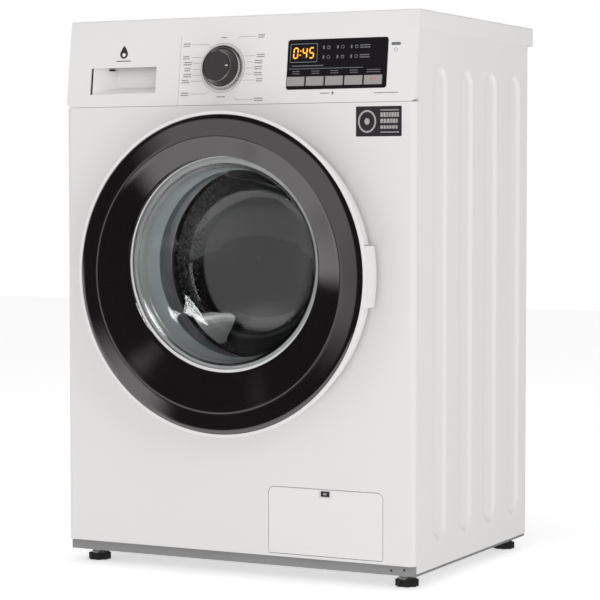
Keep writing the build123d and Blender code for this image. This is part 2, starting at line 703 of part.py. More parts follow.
def drawer_tray():
    """Open tray with three detergent compartments and two tongues that join it to the front."""
    left = HOUSING_LEFT + HOUSING_WALL + FIT_GAP
    right = HOUSING_RIGHT - HOUSING_WALL - FIT_GAP
    bottom = HOUSING_BOTTOM + HOUSING_WALL + FIT_GAP
    top = bottom + TRAY_HEIGHT
    tray = block(left, right, TRAY_FRONT, TRAY_BACK, bottom, top)
    lane = (right - left - 4 * TRAY_WALL) / 3
    for index in range(3):
        start = left + TRAY_WALL + index * (lane + TRAY_WALL)
        tray -= block(start, start + lane, TRAY_FRONT + TRAY_WALL, TRAY_BACK - TRAY_WALL,
                      bottom + TRAY_WALL, HEIGHT)
    for start in (left, right - TRAY_WALL):
        tongue = block(start, start + TRAY_WALL, 0, TRAY_FRONT, bottom, top)
        clear = fascia_prism(-HALF, 0, -FASCIA_RETURN, FASCIA_WALL, FASCIA_BOTTOM, WORKTOP_BOTTOM)
        tray += tongue - clear
    return tray


def dispenser_housing():
    """Box that the drawer slides in, with an outlet spigot below and an inlet at the back."""
    wall = HOUSING_WALL
    box = block(HOUSING_LEFT, HOUSING_RIGHT, HOUSING_FRONT, HOUSING_BACK, HOUSING_BOTTOM, HOUSING_TOP)
    box -= block(HOUSING_LEFT + wall, HOUSING_RIGHT - wall, 0, HOUSING_BACK - wall, HOUSING_BOTTOM + wall,
                 HOUSING_TOP - wall)
    ear = block(HOUSING_LEFT, HOUSING_RIGHT, HOUSING_BACK - 3 * wall, HOUSING_BACK, HOUSING_TOP, WORKTOP_BOTTOM)
    return box + ear


def inlet_valve():
    """Solenoid valve: body on the rear frame, collar through the frame, then a groove and the hose stub."""
    back = DEPTH - 2 * SHEET
    body = block(VALVE_X - VALVE_HALF, VALVE_X + VALVE_HALF, VALVE_FRONT, back,
                 VALVE_Z - VALVE_HALF, VALVE_Z + VALVE_HALF)
    body += rod_y(VALVE_X, VALVE_Z, VALVE_COLLAR, back, DEPTH + SHEET)
    body += rod_y(VALVE_X, VALVE_Z, VALVE_GROOVE, DEPTH + SHEET, VALVE_END)
    body += rod_y(VALVE_X, VALVE_Z, VALVE_STUB, DEPTH + 2 * SHEET, VALVE_END)
    return body - rod_y(VALVE_X, VALVE_Z, VALVE_BORE, back - VALVE_BORE, VALVE_END + 1)


def fill_hose():
    """Hose from the valve to the back of the dispenser housing."""
    return ring_y(VALVE_X, VALVE_Z, FILL_RADIUS, FILL_RADIUS - DRAIN_WALL, HOUSING_BACK, VALVE_FRONT)


def cord_gland():
    """Strain relief for a mains lead in the rear frame."""
    gland = rod_y(GLAND_X, GLAND_Z, GLAND_RADIUS, DEPTH - 12, DEPTH + 8)
    gland += rod_y(GLAND_X, GLAND_Z, GLAND_RADIUS + 3, DEPTH - SHEET, DEPTH + 2)
    return gland - rod_y(GLAND_X, GLAND_Z, 4.0, 0, HEIGHT)


def panel_screws():
    """Screws that hold the rear panel to the frame."""
    screws = []
    for x, z in screw_places():
        screw = rod_y(x, z, SCREW_RADIUS, DEPTH - 8, DEPTH)
        screws.append(screw + rod_y(x, z, SCREW_HEAD, DEPTH, DEPTH + 2.5))
    return Compound(children=screws)


def door_lock():
    """Lock box behind the front panel, open where the latch hook enters."""
    hook_x = HOOK_AXIS[0]
    box = block(hook_x - LOCK_HALF_WIDTH, hook_x + LOCK_HALF_WIDTH, SHEET, SHEET + LOCK_DEPTH,
                RING_Z - LOCK_HALF_HEIGHT, RING_Z + LOCK_HALF_HEIGHT)
    return box - block(hook_x - LOCK_MOUTH_HALF, hook_x + LOCK_MOUTH_HALF, 0, SHEET + LOCK_DEPTH - 3,
                       RING_Z - LOCK_MOUTH_HALF, RING_Z + LOCK_MOUTH_HALF)


def drain_pump():
    """Pump with its filter chamber, inlet and outlet spouts, on two legs on the base pan."""
    floor = BASE_BOTTOM + BASE_SHEET
    pump = rod_y(PUMP_X, PUMP_Z, PUMP_RADIUS, PUMP_FRONT, PUMP_BACK)
    pump += rod_y(PUMP_X, PUMP_Z, PUMP_RADIUS * 0.7, PUMP_BACK, PUMP_BACK + 45)
    for y in (PUMP_FRONT + 6, PUMP_BACK - 14):
        pump += block(PUMP_X - 24, PUMP_X + 24, y, y + 8, floor, PUMP_Z)
    pump += rod_z(SUMP_X + SUMP_RADIUS, SUMP_Y, SUMP_RADIUS - FIT_GAP, PUMP_Z, PUMP_Z + PUMP_RADIUS + 14)
    pump += rod_x(DRAIN_Y - 20, PUMP_Z, DRAIN_RADIUS - DRAIN_WALL - FIT_GAP, PUMP_X, DRAIN_X - 36)
    return pump - rod_y(PUMP_X, PUMP_Z, FILTER_CORE + FIT_GAP, 0, PUMP_BACK - 20)


def pump_filter():
    """Screw-in filter: cap with a grip bar in front and a core inside the pump."""
    cap = rod_y(PUMP_X, PUMP_Z, FILTER_RADIUS, FILTER_FRONT + 10, PUMP_FRONT - FIT_GAP)
    cap += block(PUMP_X - FILTER_RADIUS * 0.8, PUMP_X + FILTER_RADIUS * 0.8, FILTER_FRONT, FILTER_FRONT + 12,
                 PUMP_Z - 4, PUMP_Z + 4)
    return cap + rod_y(PUMP_X, PUMP_Z, FILTER_CORE, PUMP_FRONT - 2, PUMP_BACK - 40)


def sump_hose():
    """Bellows hose from the tub's sump to the pump."""
    x = SUMP_X + SUMP_RADIUS
    bottom = PUMP_Z + PUMP_RADIUS + 2
    top = sump_bottom() + 12
    outer = rod_z(x, SUMP_Y, SUMP_RADIUS + HOSE_WALL, bottom, top)
    return outer - rod_z(x, SUMP_Y, SUMP_RADIUS, bottom - 1, top + 1)


def sump_bottom():
    """Height of the lower end of the tub's sump spout."""
    x = SUMP_X + SUMP_RADIUS
    return WINDOW_Z - math.sqrt((TUB_RADIUS + TUB_WALL) ** 2 - x ** 2) - 30


def drain_hose():
    """Hose from the pump up the right side and out through the rear frame."""
    start = PUMP_X + PUMP_RADIUS + 6
    route = FilletPolyline((start, DRAIN_Y - 20, PUMP_Z), (DRAIN_X, DRAIN_Y - 20, PUMP_Z),
                           (DRAIN_X, DRAIN_Y - 20, DRAIN_TOP), (DRAIN_X, DRAIN_END, DRAIN_TOP), radius=30)
    plane = Plane(origin=route @ 0, z_dir=route % 0)
    section = plane * (Circle(DRAIN_RADIUS) - Circle(DRAIN_RADIUS - DRAIN_WALL))
    bead = ring_y(DRAIN_X, DRAIN_TOP, DRAIN_RADIUS + DRAIN_WALL, DRAIN_RADIUS - DRAIN_WALL / 2,
                  DEPTH + SHEET, DEPTH + SHEET + DRAIN_BEAD)
    return sweep(section, path=route) + bead


def dispenser_hose():
    """Short bellows from the dispenser down to the tub."""
    bottom = dispenser_spout_top() - 8
    outer = rod_z(DISPENSER_HOSE_X, DISPENSER_HOSE_Y, SUMP_RADIUS + HOSE_WALL, bottom, HOUSING_BOTTOM)
    return outer - rod_z(DISPENSER_HOSE_X, DISPENSER_HOSE_Y, SUMP_RADIUS, bottom - 1, HEIGHT)


def dispenser_spout_top():
    """Height of the tub's filling spout, clear of the tub under the hose's inner side."""
    x = abs(DISPENSER_HOSE_X) - SUMP_RADIUS - HOSE_WALL
    return WINDOW_Z + math.sqrt((TUB_RADIUS + TUB_WALL) ** 2 - x ** 2) + SPOUT_HEIGHT


def tub_front():
    """Front half of the outer tub with its neck, joint flange, sump and filling spout."""
    outer = TUB_RADIUS + TUB_WALL
    tub = ring_y(0, WINDOW_Z, outer, TUB_RADIUS, TUB_FRONT, TUB_SPLIT)
    tub += ring_y(0, WINDOW_Z, outer, TUB_NECK, TUB_FRONT, TUB_FRONT + TUB_WALL)
    tub += ring_y(0, WINDOW_Z, TUB_NECK + TUB_WALL, TUB_NECK, TUB_NECK_FRONT, TUB_FRONT + TUB_WALL)
    tub += ring_y(0, WINDOW_Z, TUB_FLANGE, TUB_RADIUS, TUB_SPLIT - TUB_FLANGE_HALF, TUB_SPLIT)
    sump_x = SUMP_X + SUMP_RADIUS
    spouts = rod_z(sump_x, SUMP_Y, SUMP_RADIUS - FIT_GAP, sump_bottom(), WINDOW_Z)
    spouts += rod_z(DISPENSER_HOSE_X, DISPENSER_HOSE_Y, SUMP_RADIUS - FIT_GAP, WINDOW_Z, dispenser_spout_top())
    spouts -= rod_z(sump_x, SUMP_Y, SUMP_RADIUS - HOSE_WALL, 0, WINDOW_Z)
    spouts -= rod_z(DISPENSER_HOSE_X, DISPENSER_HOSE_Y, SUMP_RADIUS - HOSE_WALL, WINDOW_Z, HEIGHT)
    tub += spouts - rod_y(0, WINDOW_Z, TUB_RADIUS + TUB_WALL / 2, 0, DEPTH)
    return tub - block(-HEATER_HALF - FIT_GAP, HEATER_HALF + FIT_GAP, 0, TUB_FRONT + TUB_WALL,
                       heater_z() - HEATER_ROD - FIT_GAP, heater_z() + HEATER_ROD + FIT_GAP)


def tub_rear():
    """Rear half of the outer tub with the bearing hub, ribs, and lugs for springs, dampers and motor."""
    outer = TUB_RADIUS + TUB_WALL
    tub = ring_y(0, WINDOW_Z, outer, TUB_RADIUS, TUB_SPLIT, TUB_BACK)
    tub += ring_y(0, WINDOW_Z, TUB_FLANGE, TUB_RADIUS, TUB_SPLIT, TUB_SPLIT + TUB_FLANGE_HALF)
    tub += rod_y(0, WINDOW_Z, outer, TUB_BACK - TUB_WALL, TUB_BACK)
    tub += rod_y(0, WINDOW_Z, HUB_RADIUS, TUB_BACK - TUB_WALL, HUB_BACK)
    for side in (-1, 1):
        spring_lug = block(side * SPRING_X - 8, side * SPRING_X + 8, SPRING_Y - 6, SPRING_Y + 6, WINDOW_Z,
                           SPRING_BOTTOM - FIT_GAP)
        damper_lug = block(side * DAMPER_X - 12, side * DAMPER_X + 12, DAMPER_Y - 10, DAMPER_Y + 10,
                           DAMPER_LUG_Z, WINDOW_Z)
        motor_lug = block(MOTOR_X + side * 40 - 6, MOTOR_X + side * 40 + 6, MOTOR_FRONT + 20, MOTOR_BACK - 30,
                          MOTOR_Z, WINDOW_Z)
        lugs = spring_lug + damper_lug + motor_lug
        tub += lugs - rod_y(0, WINDOW_Z, TUB_RADIUS + TUB_WALL / 2, 0, DEPTH)
    tub -= rod_y(MOTOR_X, MOTOR_Z, MOTOR_RADIUS, 0, DEPTH)
    tub -= rod_y(0, WINDOW_Z, BEARING_OUTER + 0.02, TUB_BACK - TUB_WALL - 1, HUB_BACK + 1)
    return tub


def heater_z():
    """Height of the heater rods, half way between drum and tub."""
    middle = (DRUM_RADIUS + TUB_RADIUS) / 2
    return WINDOW_Z - math.sqrt(middle ** 2 - (HEATER_HALF - HEATER_ROD) ** 2)


def heater():
    """Tubular heater: a flange in the tub's front wall and two rods under the drum."""
    z = heater_z()
    flange_back = TUB_FRONT + TUB_WALL
    body = block(-HEATER_HALF, HEATER_HALF, TUB_FRONT - 4, flange_back, z - HEATER_ROD, z + HEATER_ROD)
    for side in (-1, 1):
        x = side * (HEATER_HALF - HEATER_ROD)
        body += rod_y(x, z, HEATER_ROD, flange_back, TUB_BACK - 40)
    return body


def counterweights():
    """Cast ring sector below the tub's neck, and a cast block on its top hollowed to its curve."""
    back = TUB_FRONT
    front = ring_y(0, WINDOW_Z, FRONT_WEIGHT_OUTER, FRONT_WEIGHT_INNER, back - FRONT_WEIGHT_DEPTH, back)
    front -= block(-WIDTH, WIDTH, 0, DEPTH, FRONT_WEIGHT_TOP, HEIGHT)
    gap = HEATER_HALF + 6
    front -= block(-gap, gap, 0, DEPTH, heater_z() - 20, heater_z() + 16)
    x0, x1, y0, y1, top_height = TOP_WEIGHT
    top = block(x0, x1, y0, y1, WINDOW_Z + 200, WINDOW_Z + top_height)
    top -= rod_y(0, WINDOW_Z, TUB_FLANGE + FIT_GAP, 0, DEPTH)
    return Compound(children=[front, top])


def drum_bearings():
    """Two ball bearings in the tub's hub, as plain rings."""
    bearings = []
    inner = SHAFT_RADIUS + PIN_CLEARANCE
    for start in (TUB_BACK - TUB_WALL + 1, HUB_BACK - BEARING_WIDTH - 1):
        bearings.append(ring_y(0, WINDOW_Z, BEARING_OUTER, inner, start, start + BEARING_WIDTH))
    return Compound(children=bearings)


def drum_shell():
    """Rolled drum wall with the front wall and its rounded mouth."""
    shell = ring_y(0, WINDOW_Z, DRUM_RADIUS, DRUM_RADIUS - DRUM_SHEET, DRUM_FRONT, DRUM_BACK)
    mouth = DRUM_MOUTH
    shell += ring_y(0, WINDOW_Z, DRUM_RADIUS, mouth, DRUM_FRONT, DRUM_FRONT + DRUM_SHEET)
    return shell + ring_y(0, WINDOW_Z, mouth + DRUM_SHEET, mouth, DRUM_FRONT, DRUM_FRONT + 12)


def drum_back():
    """Disc that closes the back of the drum."""
    disc = rod_y(0, WINDOW_Z, DRUM_RADIUS, DRUM_BACK, DRUM_BACK + DRUM_BACK_THICK)
    for place in PolarLocations(DRUM_RADIUS * 0.55, 6):
        disc -= Pos(0, DRUM_BACK, WINDOW_Z) * Rot(90, 0, 0) * place * Cylinder(RIB_DEPTH, 20)
    return disc


def drum_lifters():
    """Three hollow paddles inside the drum wall."""
    inner = DRUM_RADIUS - DRUM_SHEET
    lifters = []
    for index in range(LIFTER_COUNT):
        root = block(-LIFTER_FOOT, LIFTER_FOOT, DRUM_FRONT + LIFTER_MARGIN, DRUM_BACK - LIFTER_MARGIN,
                     inner - 6, inner + 2)
        crown = block(-LIFTER_FOOT / 3, LIFTER_FOOT / 3, DRUM_FRONT + 3 * LIFTER_MARGIN,
                      DRUM_BACK - LIFTER_MARGIN, inner - LIFTER_HEIGHT - 1, inner - LIFTER_HEIGHT)
        top = root.faces().sort_by(Axis.Z)[0]
        tip = crown.faces().sort_by(Axis.Z)[0]
        paddle = root + loft([top, tip], ruled=True)
        paddle = Pos(0, 0, WINDOW_Z) * paddle
        paddle &= rod_y(0, WINDOW_Z, inner - SEAT_GAP, 0, DEPTH)
        angle = 360 / LIFTER_COUNT * index + LIFTER_TURN
        turn = Pos(0, 0, WINDOW_Z) * Rot(0, angle, 0) * Pos(0, 0, -WINDOW_Z)
        lifters.append(turn * paddle)
    return Compound(children=lifters)



def drum_spider():
    """Cast carrier with three arms behind the drum, and the drum shaft."""
    front = DRUM_BACK + DRUM_BACK_THICK
    hub = rod_y(0, WINDOW_Z, SPIDER_HUB, front, front + SPIDER_THICK)
    for index in range(LIFTER_COUNT):
        arm = block(-14, 14, front, front + SPIDER_THICK / 2, WINDOW_Z, WINDOW_Z + DRUM_RADIUS - 4)
        angle = 360 / LIFTER_COUNT * index
        turn = Pos(0, 0, WINDOW_Z) * Rot(0, angle, 0) * Pos(0, 0, -WINDOW_Z)
        hub += turn * arm
    return hub + rod_y(0, WINDOW_Z, SHAFT_RADIUS, front, SHAFT_END)


def drum_pulley():
    """Spoked pulley on the end of the drum shaft."""
    back = PULLEY_FRONT + PULLEY_WIDTH
    pulley = ring_y(0, WINDOW_Z, PULLEY_RADIUS, PULLEY_RADIUS - PULLEY_RIM, PULLEY_FRONT, back)
    pulley += rod_y(0, WINDOW_Z, SPIDER_HUB - 6, PULLEY_FRONT, back)
    for index in range(PULLEY_SPOKES):
        spoke = block(-7, 7, PULLEY_FRONT + 3, back - 3, WINDOW_Z + 20, WINDOW_Z + PULLEY_RADIUS - PULLEY_RIM / 2)
        turn = Pos(0, 0, WINDOW_Z) * Rot(0, 360 / PULLEY_SPOKES * index, 0) * Pos(0, 0, -WINDOW_Z)
        pulley += turn * spoke
    return pulley - rod_y(0, WINDOW_Z, SHAFT_RADIUS + 0.02, 0, HEIGHT)


def drive_belt():
    """Flat belt round both pulleys."""
    loops = []
    for grow in (FIT_GAP, FIT_GAP + BELT_THICK):
        wheels = Pos(0, WINDOW_Z) * Circle(PULLEY_RADIUS + grow)
        wheels += Pos(MOTOR_X, MOTOR_Z) * Circle(MOTOR_PULLEY_RADIUS + grow)
        loops.append(make_hull(wheels.edges()))
    band = loops[1] - loops[0]
    plane = Plane(origin=(0, PULLEY_FRONT, 0), x_dir=(1, 0, 0), z_dir=(0, -1, 0))
    return extrude(plane * band, -PULLEY_WIDTH)


def motor_body():
    """Motor can hung under the tub, with a bore for its shaft."""
    can = rod_y(MOTOR_X, MOTOR_Z, MOTOR_RADIUS - 0.02, MOTOR_FRONT, MOTOR_BACK)
    can += rod_y(MOTOR_X, MOTOR_Z, MOTOR_RADIUS / 3, MOTOR_BACK, MOTOR_BACK + 8)
    return can - rod_y(MOTOR_X, MOTOR_Z, MOTOR_SHAFT + PIN_CLEARANCE, MOTOR_BACK - 60, DEPTH)


def motor_pulley():
    """Motor shaft with its small belt pulley."""
    pulley = rod_y(MOTOR_X, MOTOR_Z, MOTOR_SHAFT, MOTOR_BACK - 58, PULLEY_FRONT + PULLEY_WIDTH)
    return pulley + rod_y(MOTOR_X, MOTOR_Z, MOTOR_PULLEY_RADIUS, PULLEY_FRONT - 2, PULLEY_FRONT + PULLEY_WIDTH + 2)


def damper_cylinders():
    """Damper tubes that stand on the base pan."""
    floor = BASE_BOTTOM + BASE_SHEET
    tubes = []
    for side in (-1, 1):
        tube = rod_z(side * DAMPER_X, DAMPER_Y, DAMPER_RADIUS, floor, DAMPER_TOP)
        bore = DAMPER_RADIUS - DAMPER_WALL
        tubes.append(tube - rod_z(side * DAMPER_X, DAMPER_Y, bore, floor + 2 * DAMPER_WALL, HEIGHT))
    return Compound(children=tubes)


def damper_rods():
    """Damper rods with their pistons, fixed under the tub's lugs."""
    rods = []
    piston = DAMPER_RADIUS - DAMPER_WALL - FIT_GAP
    for side in (-1, 1):
        rod = rod_z(side * DAMPER_X, DAMPER_Y, DAMPER_ROD, PISTON_BOTTOM, DAMPER_LUG_Z)
        rods.append(rod + rod_z(side * DAMPER_X, DAMPER_Y, piston, PISTON_BOTTOM, PISTON_BOTTOM + PISTON_HEIGHT))
    return Compound(children=rods)


def suspension_springs():
    """Close-wound springs from the cross rail down to the tub's lugs, each coil drawn as a ring."""
    low, high = SPRING_BODY
    pitch = 2 * SPRING_WIRE
    coil_count = round((high - low) / pitch)
    edge = SPRING_COIL + SPRING_WIRE
    root = SPRING_COIL + SPRING_WIRE / 3
    shank = SPRING_WIRE
    outline = [(0, SPRING_BOTTOM), (shank, SPRING_BOTTOM), (shank, low)]
    for index in range(coil_count):
        z = low + index * pitch
        outline += [(root, z), (edge, z + pitch / 3), (edge, z + 2 * pitch / 3)]
    top = low + coil_count * pitch
    outline += [(root, top), (shank, top), (shank, WORKTOP_BOTTOM - RAIL_DEPTH), (0, WORKTOP_BOTTOM - RAIL_DEPTH)]
    face = make_face(Polyline(*[(radius, 0, z) for radius, z in outline], close=True).edges())
    spring = revolve(face, Axis.Z)
    return Compound(children=[Pos(side * SPRING_X, SPRING_Y, 0) * spring for side in (-1, 1)])


def door_gasket():
    """Rubber bellows between the front panel's collar and the tub's neck, with a lip for the glass."""
    bead = OPENING_RADIUS - FIT_GAP
    neck = TUB_NECK + TUB_WALL + FIT_GAP
    wall = GASKET_WALL
    lip = GASKET_LIP_Y
    points = [
        (bead, COLLAR_DEPTH + 4), (bead + wall, COLLAR_DEPTH + 8), (bead + wall, TUB_NECK_FRONT - 8),
        (neck + wall, TUB_NECK_FRONT), (neck + wall, TUB_FRONT - 2), (neck, TUB_FRONT - 2),
        (neck, TUB_NECK_FRONT - 2), (GASKET_INNER_RADIUS, TUB_NECK_FRONT - 2),
        (GASKET_INNER_RADIUS, TUB_NECK_FRONT - 2 - wall), (bead, TUB_NECK_FRONT - 2 * wall),
        (bead - wall, lip + 2 * wall), (GASKET_LIP, lip + wall), (GASKET_LIP, lip), (bead - wall, lip - wall),
        (bead - wall, GASKET_FRONT + 1), (bead - 1, GASKET_FRONT), (bead, GASKET_FRONT + 1),
    ]
    return turned(points, 0, WINDOW_Z)


def gasket_clamp():
    """Wire ring that holds the gasket on the tub's neck."""
    radius = TUB_NECK + TUB_WALL + FIT_GAP + GASKET_WALL
    return ring_y(0, WINDOW_Z, radius + 3, radius + 0.2, TUB_FRONT - 12, TUB_FRONT - 7)


def window_cone(grow, back, front):
    """The funnel from the ring's crest down to the window, grown by a wall, between two depths."""
    crest_radius, crest_y = RING_CREST
    edge_radius, edge_y = WINDOW_EDGE
    faces = []
    for y in (back, front):
        share = (y - edge_y) / (crest_y - edge_y)
        radius = edge_radius + share * (crest_radius - edge_radius) + grow
        height = WINDOW_Z + share * (RING_Z - WINDOW_Z)
        plane = Plane(origin=(0, y, height), x_dir=(1, 0, 0), z_dir=(0, -1, 0))
        faces.append(plane * Circle(radius))
    return loft(faces, ruled=True)


def ring_solid(inset):
    """The door ring's outer form as a solid disc, set back by an inset."""
    edge_radius, edge_y = RING_EDGE
    shoulder_radius, shoulder_y = RING_SHOULDER
    crest_radius, crest_y = RING_CREST
    points = [
        (0, crest_y + inset), (crest_radius, crest_y + inset), (shoulder_radius - inset / 2, shoulder_y + inset),
        (edge_radius - inset / 2, edge_y + inset), (edge_radius - inset / 2, WINDOW_EDGE[1] + inset),
        (0, WINDOW_EDGE[1] + inset),
    ]
    return turned(points, 0, RING_Z)


def ring_layer(near, far):
    """A layer of the door ring between two depths under its visible face."""
    deep = WINDOW_EDGE[1] + 20
    layer = ring_solid(near) - window_cone(near, deep, RING_CREST[1] - 5)
    return layer - (ring_solid(far) - window_cone(far, deep, RING_CREST[1] - 5))


def door_cover():
    """Dark glossy ring on the front of the door."""
    cover = ring_layer(0, COVER_WALL)
    cover -= ring_y(0, RING_Z, LIP_RADIUS, RING_CREST[0], LIP_BACK - RIM_WALL - SEAT_GAP, DEPTH)
    return cover - block(-WIDTH, WIDTH, WINDOW_EDGE[1], DEPTH, 0, HEIGHT)


def hinge_clearance():
    """The space that the two hinge arms need inside the door as it opens."""
    inner = HINGE_LEAF_HALF - FIT_GAP
    outer = HINGE_LEAF_HALF + HINGE_ARM_THICK + 10 * FIT_GAP
    room = rod_z(HINGE_X, HINGE_Y, HINGE_NOTCH_RADIUS, RING_Z - outer, RING_Z + outer)
    room -= rod_z(HINGE_X, HINGE_Y, HINGE_NOTCH_RADIUS + 1, RING_Z - inner, RING_Z + inner)
    return room - block(-WIDTH, 0, -HEIGHT, HINGE_Y - HINGE_BOSS, 0, HEIGHT)


def latch_pin(axis):
    """An upright pin between two bosses that stand on the back of the rim's seat."""
    x, y = axis
    half = HOOK_HALF + FIT_GAP
    side = 1.5 * LATCH_PIN
    boss = 6.0
    pin = rod_z(x, y, LATCH_PIN, RING_Z - half - boss, RING_Z + half + boss)
    for z in (RING_Z - half - boss, RING_Z + half):
        pin += block(x - side, x + side, RING_CREST[1], y + side, z, z + boss)
    near = COVER_WALL + SEAT_GAP
    room = ring_solid(near) + rod_y(0, RING_Z, RING_EDGE[0], WINDOW_EDGE[1], 0)
    return (pin & room) - window_cone(near, WINDOW_EDGE[1] + 20, RING_CREST[1] - 5)


def door_rim():
    """White moulding of the door: seat of the dark ring, lip, waist and pins of handle and hook."""
    near = COVER_WALL + SEAT_GAP
    rim = ring_layer(near, near + RIM_WALL)
    rim -= block(-WIDTH, WIDTH, WINDOW_EDGE[1] + COVER_WALL, DEPTH, 0, HEIGHT)
    rim -= ring_y(0, RING_Z, LIP_RADIUS, WAIST_RADIUS - WAIST_WALL, LIP_BACK, DEPTH)
    rim += ring_y(0, RING_Z, WAIST_RADIUS, WAIST_RADIUS - WAIST_WALL, LIP_BACK - 1, DOOR_BACK)
    rim += ring_y(0, RING_Z, LIP_RADIUS, WAIST_RADIUS - WAIST_WALL, LIP_BACK - RIM_WALL, LIP_BACK)
    edge = RING_EDGE[0] + FIT_GAP
    rim += ring_y(0, RING_Z, LIP_RADIUS, edge, RING_EDGE[1] - 1, LIP_BACK)
    rim += latch_pin(HANDLE_AXIS)
    rim += latch_pin(HOOK_AXIS)
    rim -= hinge_clearance()
    half = HANDLE_HALF + 1
    rim -= block(HANDLE_AXIS[0] + 8, WIDTH, HANDLE_FRONT - 6, DOOR_BACK + 1, RING_Z - half, RING_Z + half)
    return rim


def door_inner_frame():
    """Ring that closes the back of the door and clamps the glass."""
    collar_front = glass_face() + GLASS_WALL + FIT_GAP
    outer = WAIST_RADIUS - WAIST_WALL - FIT_GAP
    frame = rod_y(0, RING_Z, outer, DOOR_BACK - FRAME_WALL, DOOR_BACK)
    frame += rod_y(0, WINDOW_Z, GLASS_FLANGE + FRAME_WALL, collar_front, DOOR_BACK)
    frame -= rod_y(0, WINDOW_Z, GLASS_NECK + 1.5, -HEIGHT, HEIGHT)
    frame -= hinge_clearance()
    hook_x = HOOK_AXIS[0]
    return frame - block(hook_x - 12, WIDTH, -HEIGHT, HEIGHT, RING_Z - HOOK_HALF - 3, RING_Z + HOOK_HALF + 3)


def glass_face():
    """Depth of the front face of the glass's flange."""
    return WINDOW_EDGE[1] + COVER_WALL + FIT_GAP


def door_glass():
    """Pressed glass bowl that reaches into the drum's mouth."""
    face = glass_face()
    wall = GLASS_WALL
    mid_radius, mid_y = GLASS_MID
    toe_radius, toe_y = GLASS_TOE
    points = [
        (GLASS_FLANGE, face), (GLASS_FLANGE, face + wall), (GLASS_NECK, face + wall), (mid_radius, mid_y),
        (toe_radius, toe_y), (GLASS_END_RADIUS, GLASS_END), (0, GLASS_END + 4), (0, GLASS_END + 4 - wall),
        (GLASS_END_RADIUS - wall / 2, GLASS_END - wall), (toe_radius - wall, toe_y - wall / 2),
        (mid_radius - wall, mid_y), (GLASS_NECK - wall, face),
    ]
    return turned(points, 0, WINDOW_Z)


def hinge_bracket():
    """Steel hinge part on the front panel: plate, two arms and the upright pin."""
    plate = block(HINGE_PLATE_LEFT, HINGE_PLATE_RIGHT, -HINGE_PLATE_THICK, 0, RING_Z - 46, RING_Z + 46)
    start = HINGE_LEAF_HALF + FIT_GAP
    arm = [
        (HINGE_PLATE_LEFT, 0), (HINGE_PLATE_LEFT + 14, 0), (HINGE_X + 6, HINGE_Y - 2), (HINGE_X - 2, HINGE_Y - 5),
        (HINGE_X - 5, HINGE_Y + 2),
    ]
    for z in (RING_Z - start - HINGE_ARM_THICK, RING_Z + start):
        plate += prism_z(arm, z, z + HINGE_ARM_THICK)
        plate += rod_z(HINGE_X, HINGE_Y, HINGE_BOSS, z, z + HINGE_ARM_THICK)
    end = start + HINGE_ARM_THICK
    return plate + rod_z(HINGE_X, HINGE_Y, HINGE_PIN, RING_Z - end, RING_Z + end)


def hinge_leaf():
    """Steel hinge part on the door: barrel round the pin and a leg screwed to the inner frame."""
    half = HINGE_LEAF_HALF
    barrel = rod_z(HINGE_X, HINGE_Y, HINGE_BOSS, RING_Z - half, RING_Z + half)
    leg_end = HINGE_X + HINGE_LEG
    barrel += block(HINGE_X, leg_end, HINGE_Y - 2, HINGE_Y + 2, RING_Z - half, RING_Z + half)
    foot_front = DOOR_BACK - FRAME_WALL
    barrel += block(leg_end - 4, leg_end, HINGE_Y - 2, foot_front, RING_Z - half, RING_Z + half)
    return barrel - rod_z(HINGE_X, HINGE_Y, HINGE_PIN + PIN_CLEARANCE, 0, HEIGHT)


def door_handle():
    """Pull lever in the waist of the door, turning on an upright pin."""
    x, y = HANDLE_AXIS
    grip = ring_y(0, RING_Z, HANDLE_OUTER, WAIST_RADIUS - WAIST_WALL, HANDLE_FRONT, HANDLE_BACK)
    grip &= block(0, WIDTH, -HEIGHT, HEIGHT, RING_Z - HANDLE_HALF, RING_Z + HANDLE_HALF)
    grip += block(x, WAIST_RADIUS, y - 3, y + 3, RING_Z - HOOK_HALF, RING_Z + HOOK_HALF)
    grip += rod_z(x, y, LATCH_BARREL, RING_Z - HOOK_HALF, RING_Z + HOOK_HALF)
    return grip - rod_z(x, y, LATCH_PIN + PIN_CLEARANCE, 0, HEIGHT)


def latch_hook():
    """Hook that the handle turns; it reaches through the panel into the lock."""
    x, y = HOOK_AXIS
    half = HOOK_HALF
    hook = rod_z(x, y, LATCH_BARREL, RING_Z - half, RING_Z + half)
    hook += block(x - 3, x + 3, y, HOOK_REACH, RING_Z - half, RING_Z + half)
    hook += block(x - 9, x + 3, HOOK_REACH - 5, HOOK_REACH, RING_Z - half, RING_Z + half)
    return hook - rod_z(x, y, LATCH_PIN + PIN_CLEARANCE, 0, HEIGHT)


